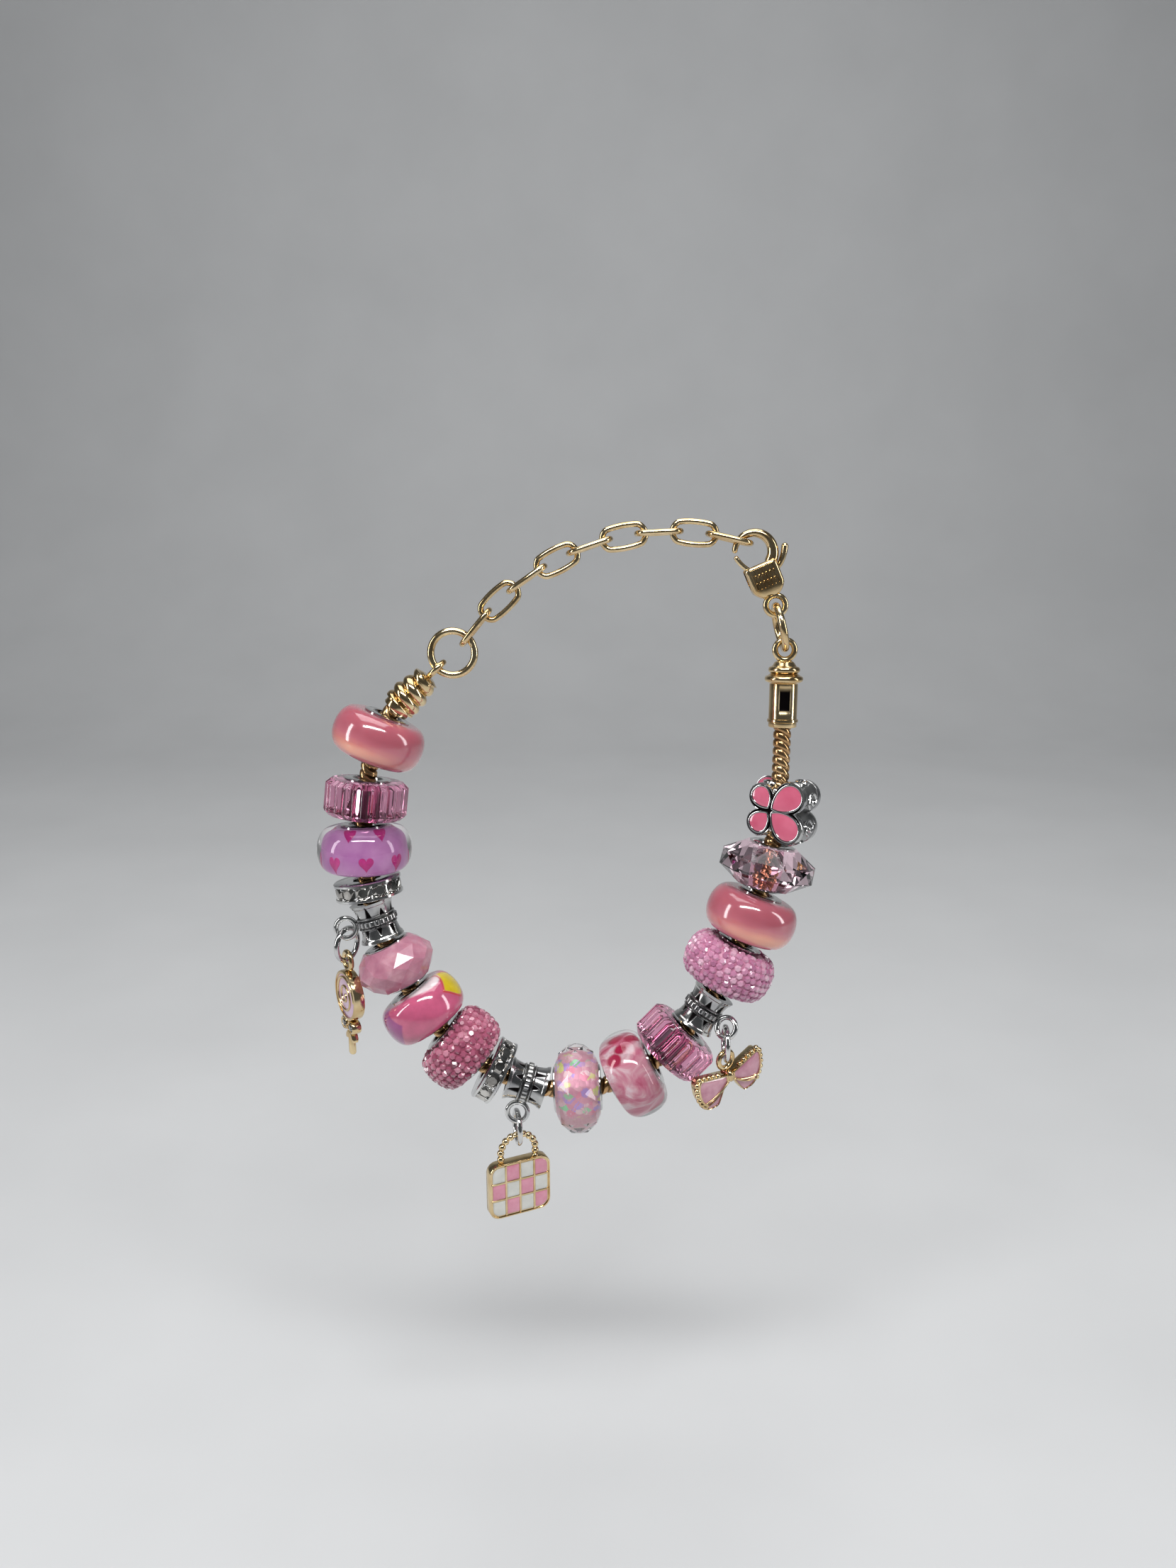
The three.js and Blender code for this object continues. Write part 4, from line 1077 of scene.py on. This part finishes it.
clasp = {
    "half": 2.5, "hookCentre": 8.3, "hookRadius": 2.8, "hookFrom": -48, "hookTo": 152, "pivot": (0.3, 4.3),
    "slot": 0.7, "slotFloor": 3.0, "rivet": 0.434,
    "case": [(1.4, 0.9, 0.7), (1.45, 1.3, 1.0), (1.7, 1.65, 1.2), (2.1, 2.05, 1.35), (2.6, 2.4, 1.45),
             (3.0, 2.48, 1.5), (4.2, 2.5, 1.5), (5.4, 2.5, 1.5), (6.0, 2.5, 1.5), (6.25, 2.42, 1.42),
             (6.38, 2.25, 1.28), (6.4, 1.9, 1.0)],
}
panel = {"low": 2.75, "high": 6.0, "half": 1.85, "band": 1.083, "stroke": 0.56, "level": 1.46, "back": 1.2,
         "proud": 0.16, "sunk": 0.03, "dark": 0.45}
claspPlace = {"at": boxMiddle("jump_ring_right") + ringReach * ringAxes[1], "axes": claspAxes}


# The case is a stack of rounded rectangles in two halves, slotted across for the lever
def claspCase():
    c, s = disc(1, 96).T
    across, aside = (np.sign(v) * np.abs(v) ** 0.4 for v in (c, s))
    bottom, top = clasp["case"][0][0], clasp["case"][-1][0]
    shapes = []
    for side in (-1, 1):
        rows = [np.stack([0 * c, 0 * c + bottom, 0 * c + side * 0.3], -1)]
        for height, wide, deep in clasp["case"]:
            least = clasp["slot"] if height > clasp["slotFloor"] else -0.02
            rows.append(np.stack([wide * across, 0 * c + height,
                                  np.maximum(deep * aside * side, least) * side], -1))
        rows.append(np.stack([0 * c, 0 * c + top, 0 * c + side * 0.9], -1))
        shapes.append(gridShape(np.stack(rows), wrapRows=False))
    return shapes


# Engraved panels: three bands of short strokes between plain lines, as a relief over a grid
def claspPanels():
    half, low, high, proud = panel["half"], panel["low"], panel["high"], panel["proud"]
    x, h = np.meshgrid(np.linspace(-half, half, 75), np.linspace(low, high, 66))
    row, band = np.divmod((h - low) / panel["band"], 1)
    strokes = np.abs(np.sin(math.pi * (x + 0.35 * row) / panel["stroke"])) > 0.45
    relief = np.where((band > 0.18) & (band < 0.84) & strokes, proud, panel["sunk"])
    relief = np.where((band < 0.09) | (band > 0.93), proud, relief)
    inside = (np.abs(x) < half - 0.15) & (h > low + 0.15) & (h < high - 0.15)
    edge = (np.abs(x) > half - 0.03) | (h < low + 0.05) | (h > high - 0.04)
    relief = np.where(inside, relief, np.where(edge, -0.1, proud))
    # painted shade: the sunk parts between the raised strokes are darkened, the deeper the darker
    oxide = np.clip((0.12 - relief) * 8, 0, 1) * inside * panel["dark"]
    both = np.concatenate([np.stack([x, h, panel["level"] + relief], -1),
                           np.stack([x, h, 0 * x + panel["back"]], -1)[::-1]])
    mask = np.concatenate([oxide, 0 * oxide])
    return [closedSides(gridShape(both * [side, 1, side], wrapColumns=False, oxide=mask), both.shape[:2])
            for side in (-1, 1)]


def closedSides(shape, size):
    # closes the two open sides of a folded sheet with strips between its facing rows
    rows, columns = size
    index = np.arange(rows * columns).reshape(rows, columns)
    half = rows // 2
    strips = []
    for k in (0, columns - 1):
        front, back = index[:half, k], index[::-1, k][:half]
        strips.append(np.stack([front[:-1], front[1:], back[1:], back[:-1]], -1))
    return {**shape, "faces": np.vstack([shape["faces"]] + strips)}


# Part of a parabola from one point to another, drawn towards a third
def bezier(a, b, c, steps=16, endpoint=False):
    t = np.linspace(0, 1, steps, endpoint=endpoint)[:, None]
    a, b, c = (np.array(p, float) for p in (a, b, c))
    return (1 - t) ** 2 * a + 2 * t * (1 - t) * b + t**2 * c


# The hook's wire thins along an arc, and the lever is a gate that closes it, a boss and a thumb piece
def claspPieces():
    radius, (px, py) = clasp["hookRadius"], clasp["pivot"]
    t = np.radians(np.linspace(clasp["hookFrom"], clasp["hookTo"], 70))
    path = np.stack([radius * np.cos(t), radius * np.sin(t) + clasp["hookCentre"], 0 * t], -1)
    share = np.linspace(0, 1, 70)
    hook = sweep(path, 0.92 - 0.5 * share, 0.95 - 0.42 * share)
    rivet = pillow(disc(clasp["rivet"], 69, (px, py)),
                   mirrored([(0, 1.424), (0.7, 1.392), (1, 1.28)]), (px, py))
    eye = moved(wireRing(**endEye), {"at": np.array([0, -0.1, 0]), "axes": np.eye(3)})
    addPiece("clasp_case", moved([*claspCase(), hook, rivet, eye], claspPlace),
             paleGold, "clasp_body")
    addPiece("clasp_panels", moved(claspPanels(), claspPlace), stampedGold, sharp=30)
    tipX, tipY = path[-1, 0] - px, path[-1, 1] - py
    gate = bezier((-0.6, 0.3, 0), (tipX * 0.95, tipY * 0.4, 0), (tipX * 1.08, tipY - 1.15, 0), 24, True)
    thumb = bezier((0.7, 0.2, 0), (2.9, 0.5, 0), (clasp["half"] - px + 2.0, 3.0, 0), 24, True)
    boss = pillow(disc(0.98, 40), mirrored([(0, 0.4), (0.9, 0.4), (1, 0.3)]), (0, 0))
    shapes = [boss, sweep(gate, 0.38, 0.38),
              sweep(thumb, np.linspace(0.36, 0.52, 24), np.linspace(0.36, 0.66, 24))]
    lever = moved(shapes, within(claspPlace, (px, py, 0)))
    addPiece("clasp_lever_gate", lever, paleGold, "clasp_lever", body="clasp_lever")


claspPieces()
print("clasp made")


# Charms, each about the centre of its own eye

charmRing = {"radius": 2.5, "wire": 0.42}
charmEye = {"radius": 1.35, "wire": 0.42}
charmTurn = {"left": math.radians(-58), "bottom": math.radians(25), "right": math.radians(36)}


def droop(radius, wire, inner):
    return radius - wire - 0.3 - inner


# Hangs a charm's ring plumb under a bail's loop, and gives the charm's own place under the ring
def hang(name, side):
    place = within(places["bail_" + side], axes=turnedAboutY(bailSwing[side]))
    hole = place["at"] + loopOffset * place["axes"][0]
    face = tilt.T @ place["axes"][2]
    t = charmTurn[side]
    a = (math.atan2(face[0], -face[1]) + t) / 2
    drop = 0.3 * droop(bails["loopRadius"], bails["loopWire"], charmRing["wire"]) + charmRing["radius"]
    ring = {"at": hole - [0, 0, drop], "axes": np.array([[0, 0, 1], [-math.sin(a), math.cos(a), 0],
                                                         [math.cos(a), math.sin(a), 0]])}
    wire = moved(wireRing(**charmRing, seam=True), ring)
    addPiece(name + "_ring_wire", wire, brightSilver, name + "_ring")
    down = drop + charmRing["radius"] + droop(**charmEye, inner=charmRing["wire"])
    return {"at": hole - [0, 0, down], "axes": np.array([[math.cos(t), math.sin(t), 0], [0, 0, 1],
                                                         [math.sin(t), -math.cos(t), 0]])}


# Steps are shares of the outline with depths under the front and over the back, or plain heights
lollipop = {
    "radius": 4.0, "thick": 1.8, "stick": 6.4, "stone": 1.22, "turns": 2.4, "spiral": 3.4,
    "dish": ([(0, 0.3), (0.87, 0.3), (0.885, 0.03), (0.93, 0), (0.985, 0.1), (1, 0.35)],
             [(1, 0.3), (0.98, 0.06), (0.93, 0), (0.5, 0), (0, 0)]),
    "pour": [(0, 0.1), (0.6, 0.12), (0.84, 0.2), (0.88, 0.24), (0.88, 0.4), (0, 0.4)],
    "petal": [(0, 0.5), (0.6, 0.5), (0.66, 0.72), (0.85, 0.78), (0.97, 0.62), (1, 0.4), (1, -0.55),
              (0.9, -0.72), (0, -0.72)],
    "leaf": [(0, 0.55), (0.7, 0.5), (1, 0.25), (1, -0.4), (0.8, -0.55), (0, -0.55)],
    "knot": [(0, 0.95), (0.6, 0.88), (1, 0.6), (1, -0.6), (0, -0.7)],
}


# A dish with a raised rim, poured with enamel round a wire that winds outwards evenly
def lollipopCharm():
    name = "lollipop_charm"
    place = hang(name, "left")
    radius, half, stone = lollipop["radius"], lollipop["thick"] / 2, lollipop["stone"]
    middle = -charmEye["radius"] - charmEye["wire"] + 0.1 - radius
    circle = disc(radius, 96, (0, middle))
    t = np.linspace(1.7, turn * lollipop["turns"], 220)
    r = lollipop["spiral"] * t / t[-1]
    wind = np.stack([-r * np.cos(t + 0.6), middle + r * np.sin(t + 0.6), 0 * t + half - 0.08], -1)
    stickTop = middle - radius + 0.3
    knotAt, lowest = stickTop - 1.45, stickTop - lollipop["stick"]
    s = np.linspace(0, 1, 30)
    stick = np.stack([0 * s, stickTop + (lowest + 0.5 - stickTop) * s, 0 * s], -1)
    gold = [pillow(circle, crowned(half, *lollipop["dish"]), (0, middle)), sweep(wind, 0.2, 0.18, sides=10),
            wireRing(**charmEye), sweep(stick, 0.5 + 0.22 * smooth(s, 0.45, 1), 0.55, sides=20)]
    for side in (-1, 1):
        leaf = cellOutline(math.radians(-90 + side * 32), 0.2, 2.3, 0.5) + [0, knotAt - 0.4]
        gold.append(pillow(disc([stone, 1.08], 48, (side * stone, knotAt + 0.15)), lollipop["petal"]))
        gold.append(pillow(leaf, lollipop["leaf"]))
    gold.append(pillow(disc(0.45, 32, (0, knotAt + 0.1)), lollipop["knot"]))
    addPiece(name + "_gold", moved(gold, place), paleGold, name)
    pour = pillow(circle, crowned(half, lollipop["pour"]), (0, middle))
    addPiece(name + "_enamel", moved(pour, place), lilacEnamel)
    stones = [moved(stoneShape(0.72, 0.36), within(place, (side * stone, knotAt + 0.15, 0.52)))
              for side in (-1, 1)]
    addPiece(name + "_stones", stones, foilStone, sharp=0)


purse = {
    "width": 10.2, "height": 9.4, "thick": 1.8, "corner": 1.6, "handle": 2.9, "wire": 0.5, "leg": 1.4,
    "columns": 4, "rows": 3, "rim": 0.5, "line": 0.32, "bead": 1.05,
    "body": ([(0, 0.2), (0.86, 0.2), (0.95, 0.2), (0.955, 0.02), (0.985, 0), (1, 0.14)],
             [(1, 0.14), (0.985, 0), (0.955, 0.02), (0.95, 0.2), (0, 0.2)]),
    "pour": [(0, 0), (0.7, 0.015), (0.93, 0.05), (1, 0.12), (1, 0.4), (0, 0.4)],
}


# A rectangle with its own radius at each corner, anticlockwise from the lower right, and more points along
# its straight sides
def boxOutline(low, high, corners, steps=7):
    (x0, y0), (x1, y1) = low, high
    starts = ((x1, y0, -1, 1, -90), (x1, y1, -1, -1, 0), (x0, y1, 1, -1, 90), (x0, y0, 1, 1, 180))
    points = []
    for (cx, cy, sx, sy, start), r in zip(starts, corners):
        t = np.radians(start + np.linspace(0, 90, steps))
        points.append(np.stack([cx + sx * r + r * np.cos(t), cy + sy * r + r * np.sin(t)], -1))
    loop = np.vstack(points)
    step = np.roll(loop, -1, 0) - loop
    return (loop[:, None] + step[:, None] * np.linspace(0, 1, 3, endpoint=False)[:, None]).reshape(-1, 2)


# A flat box with enamel checks between gold lines; the wire of its handle swells and narrows evenly along
# the arch and its legs
def purseCharm():
    name = "purse_charm"
    place = hang(name, "bottom")
    archMiddle = charmEye["radius"] - charmEye["wire"] + purse["wire"] - purse["handle"]
    top = archMiddle - purse["leg"]
    half, w, h = purse["thick"] / 2, purse["width"] / 2, purse["height"]
    body = boxOutline((-w, top - h), (w, top), [purse["corner"]] * 4)
    arch = ringPath(purse["handle"], 150, math.pi)
    leg = np.linspace(-purse["leg"] - 0.2, 0, 40, endpoint=False)
    down = np.stack([0 * leg + purse["handle"], leg, 0 * leg], -1)
    path = np.vstack([down, arch, (down * [-1, 1, 1])[::-1]]) + [0, archMiddle, 0]
    run = runOf(path)
    wave = np.abs(np.cos(math.pi * run / purse["bead"])) ** 0.7
    bare = np.exp(-(((run - run[-1] / 2) / 0.9) ** 2))
    thick = (0.26 + 0.32 * wave) * (1 - bare) + 0.42 * bare
    gold = [pillow(body, crowned(half, *purse["body"]), (0, top - h / 2)),
            sweep(path, thick, thick, sides=14)]
    addPiece(name + "_gold", moved(gold, place), paleGold, name)
    rim, line, columns, rows = purse["rim"], purse["line"], purse["columns"], purse["rows"]
    wide = (2 * w - 2 * rim - (columns - 1) * line) / columns
    tall = (h - 2 * rim - (rows - 1) * line) / rows
    big, small = purse["corner"] - rim + 0.1, 0.14
    pours, strips = ([], []), []
    for facing in (1, -1):
        for i, j in np.ndindex(columns, rows):
            x, y = -w + rim + i * (wide + line), top - rim - tall - j * (tall + line)
            ends = ((columns - 1, rows - 1), (columns - 1, 0), (0, 0), (0, rows - 1))
            outline = boxOutline((x, y), (x + wide, y + tall),
                                 [big if (i, j) == e else small for e in ends], 5)
            shape = pillow(outline, crowned(half - 0.02, purse["pour"]))
            pours[(i + j) % 2].append({**shape, "points": shape["points"] * [1, 1, facing]})
        # gold lines between the cells stand level with the rim
        uprights = [-w + rim + i * (wide + line) - line / 2 for i in range(1, columns)]
        levels = [top - rim - j * (tall + line) + line / 2 for j in range(1, rows)]
        bars = [((x, top - h + 0.4, 0), (x, top - 0.4, 0)) for x in uprights]
        for start, stop in bars + [((-w + 0.4, y, 0), (w - 0.4, y, 0)) for y in levels]:
            path = np.linspace(start, stop, 12) + [0, 0, facing * (half - 0.14)]
            strips.append(sweep(path, line / 2 + 0.02, 0.13, sides=8))
    finishes = {"_white_enamel": (pours[0], whiteEnamel), "_pink_enamel": (pours[1], checkEnamel),
                "_lines": (strips, paleGold)}
    for part, (shapes, material) in finishes.items():
        addPiece(name + part, moved(shapes, place), material)


# Wings and tails are outlines of curves whose points are shares of the span and the height
bow = {
    "span": 6.9, "height": 3.7, "thick": 2.0, "knot": 1.1, "roll": math.radians(10), "grain": 0.5,
    "edge": ([(0, 0.28), (0.84, 0.28), (0.87, 0.04), (0.93, 0), (0.985, 0.1), (1, 0.35)],
             [(1, 0.3), (0.95, 0), (0.5, 0), (0, 0)]),
    "wingPour": [(0, 0.06), (0.5, 0.08), (0.82, 0.16), (0.86, 0.22), (0.86, 0.4), (0, 0.4)],
    "tailPour": [(0, 0.52), (0.5, 0.54), (0.84, 0.62), (0.86, 0.85), (0, 0.85)],
}


# Each loop of the ribbon is a closed outline of soft curves, with its enamel pour inside a gold edge
def bowCharm():
    name = "bow_charm"
    place = hang(name, "right")
    c, s = math.cos(bow["roll"]), math.sin(bow["roll"])
    rolled = within(place, axes=[[c, s, 0], [-s, c, 0], [0, 0, 1]])
    middle = -charmEye["radius"] - charmEye["wire"] - bow["knot"] + 0.2
    span, tall, half = bow["span"], bow["height"], bow["thick"] / 2
    at = np.array([0, middle])
    edge = crowned(half, *bow["edge"])
    low = [(a, z - 0.45 if z > 0 else z + 0.35) for a, z in edge]
    gold, pours, grains = [wireRing(**charmEye)], [], []
    for side in (-1, 1):
        wing = np.vstack([
            bezier((0.35, -0.5), (span * 0.35, -tall * 0.75), (span * 0.74, -tall * 0.82)),
            bezier((span * 0.74, -tall * 0.82), (span * 0.93, -tall * 0.5), (span * 0.93, 0)),
            bezier((span * 0.93, 0), (span * 0.95, tall * 0.48), (span * 0.84, tall * 0.56)),
            bezier((span * 0.84, tall * 0.56), (span * 0.45, tall * 0.36), (0.35, 0.5)),
            bezier((0.35, 0.5), (0.3, 0), (0.35, -0.5), 6)]) * [side, 1] + at
        tail = np.vstack([
            bezier((0.5, -0.4), (1.4, -2.4), (span * 0.36, -tall * 1.05)),
            bezier((span * 0.36, -tall * 1.05), (span * 0.42, -tall * 1.16), (span * 0.52, -tall * 1.1)),
            bezier((span * 0.52, -tall * 1.1), (span * 0.66, -tall * 1.14), (span * 0.8, -tall * 0.9)),
            bezier((span * 0.8, -tall * 0.9), (span * 0.6, -tall * 0.4), (0.5, -0.4))]) * [side, 1] + at
        wingHeart = np.array([span * 0.55 * side, -0.5]) + at
        tailHeart = np.array([span * 0.44 * side, -tall * 0.72]) + at
        gold += [pillow(wing, edge, wingHeart), pillow(tail, low, tailHeart)]
        pours += [pillow(wing, crowned(half, bow["wingPour"]), wingHeart),
                  pillow(tail, crowned(half, bow["tailPour"]), tailHeart)]
        # grains along the upper and outer edge of the wing
        rim = wing[16:60]
        reach = runOf(rim)
        for p in np.arange(0.2, reach[-1], 0.92):
            grains.append([np.interp(p, reach, rim[:, 0]), np.interp(p, reach, rim[:, 1]), 0.5])
        # the fold line over the ribbon's lower edge
        fold = bezier((0.6 * side, -0.7), (span * 0.38 * side, -tall * 0.55),
                      (span * 0.8 * side, -tall * 0.62), 30)
        path = np.column_stack([fold + at, np.full(len(fold), half - 0.05)])
        gold.append(sweep(path, 0.12, 0.12, sides=8))
    knot = crowned(half, [(0, -0.28), (0.5, -0.24), (0.85, -0.05), (1, 0.3)],
                   [(1, 0.1), (0.6, -0.2), (0, -0.25)])
    gold += [pillow(disc([0.62, 0.98], 36, at), knot), spheres(grains, bow["grain"])]
    addPiece(name + "_gold", moved(gold, rolled), paleGold, name)
    addPiece(name + "_enamel", moved(pours, rolled), bowEnamel)


lollipopCharm()
purseCharm()
bowCharm()
print("charms made")


# Camera, where the photograph was taken from: 202 mm from the middle of the loop and 16 degrees above it

view = {"distance": 0.202, "pitch": math.radians(16), "lens": 1900 / 2212 * 36}
look = np.array([0, math.cos(view["pitch"]), -math.sin(view["pitch"])])
camera = bpy.data.objects.new("camera", bpy.data.cameras.new("camera"))
camera.data.lens = view["lens"]
camera.data.clip_start = 0.01
camera.location = Vector(shift * 0.001 - view["distance"] * look)
camera.rotation_mode = "QUATERNION"
camera.rotation_quaternion = Vector(look).to_track_quat("-Z", "Y")
bpy.context.scene.collection.objects.link(camera)
bpy.context.scene.camera = camera


# Plain pale floor that curves up behind, and soft studio light, in metres

stage = {"floor": -0.16, "back": 0.5, "radius": 0.25, "front": -1.2, "wide": 1.6, "tall": 1.2}


# A flat floor, a quarter circle and a wall, as one sheet
def makeStage():
    t = np.linspace(0, math.pi / 2, 16)
    wall = stage["back"] + stage["radius"]
    y = np.concatenate([[stage["front"]], stage["back"] + stage["radius"] * np.sin(t), [wall]])
    z = np.concatenate([[0], stage["radius"] * (1 - np.cos(t)), [stage["tall"]]]) + stage["floor"]
    x = np.array([-stage["wide"], stage["wide"]])
    points = np.stack(np.broadcast_arrays(x[None, :], y[:, None], z[:, None]), -1)
    shape = gridShape(points, wrapRows=False, wrapColumns=False)
    mesh = bpy.data.meshes.new("floor")
    mesh.from_pydata(shape["points"].tolist(), [], shape["faces"].tolist())
    mesh.polygons.foreach_set("use_smooth", np.full(len(mesh.polygons), True))
    floor = bpy.data.objects.new("floor", mesh)
    bpy.context.scene.collection.objects.link(floor)
    mesh.materials.append(cloudy("palePaintedBoard",
                                 [(0.3, "#CBCCCD"), (0.7, "#D0D1D2")], 60, {"Roughness": 0.6}))
    floor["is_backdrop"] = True


# Name: where it stands, its width and height, and its power in watts
lamps = {
    "overheadStrip": ((0.0, -0.26, 0.34), (0.42, 0.06), 2.0),
    "overheadSoftbox": ((0.0, 0.12, 0.62), (0.6, 0.5), 2.6),
    "leftSoftbox": ((-0.5, -0.15, 0.12), (0.08, 0.4), 0.9),
    "rightSoftbox": ((0.5, -0.1, 0.1), (0.08, 0.4), 0.7),
}
lampTarget = (0, 0, -0.05)
surround = {"colour": "#DDE2E6", "strength": 0.11}


def lightScene():
    for name, (at, size, power) in lamps.items():
        light = bpy.data.lights.new(name, "AREA")
        light.shape = "RECTANGLE"
        light.size, light.size_y = size
        light.energy = power
        lamp = bpy.data.objects.new(name, light)
        lamp.location = at
        lamp.rotation_mode = "QUATERNION"
        lamp.rotation_quaternion = (Vector(lampTarget) - Vector(at)).to_track_quat("-Z", "Y")
        bpy.context.scene.collection.objects.link(lamp)
    world = bpy.data.worlds.new("studio")
    world.use_nodes = True
    background = world.node_tree.nodes["Background"].inputs
    background["Color"].default_value = linear(surround["colour"])
    background["Strength"].default_value = surround["strength"]
    bpy.context.scene.world = world


makeStage()
lightScene()
bpy.context.scene.view_settings.view_transform = "Standard"  # so that the enamels keep their own colours
print("stage and light made")

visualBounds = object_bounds()
for label, bounds in (("CAD box", cadBounds), ("visual box", visualBounds)):
    print(label, [[round(v * 1000, 2) for v in corner] for corner in bounds])
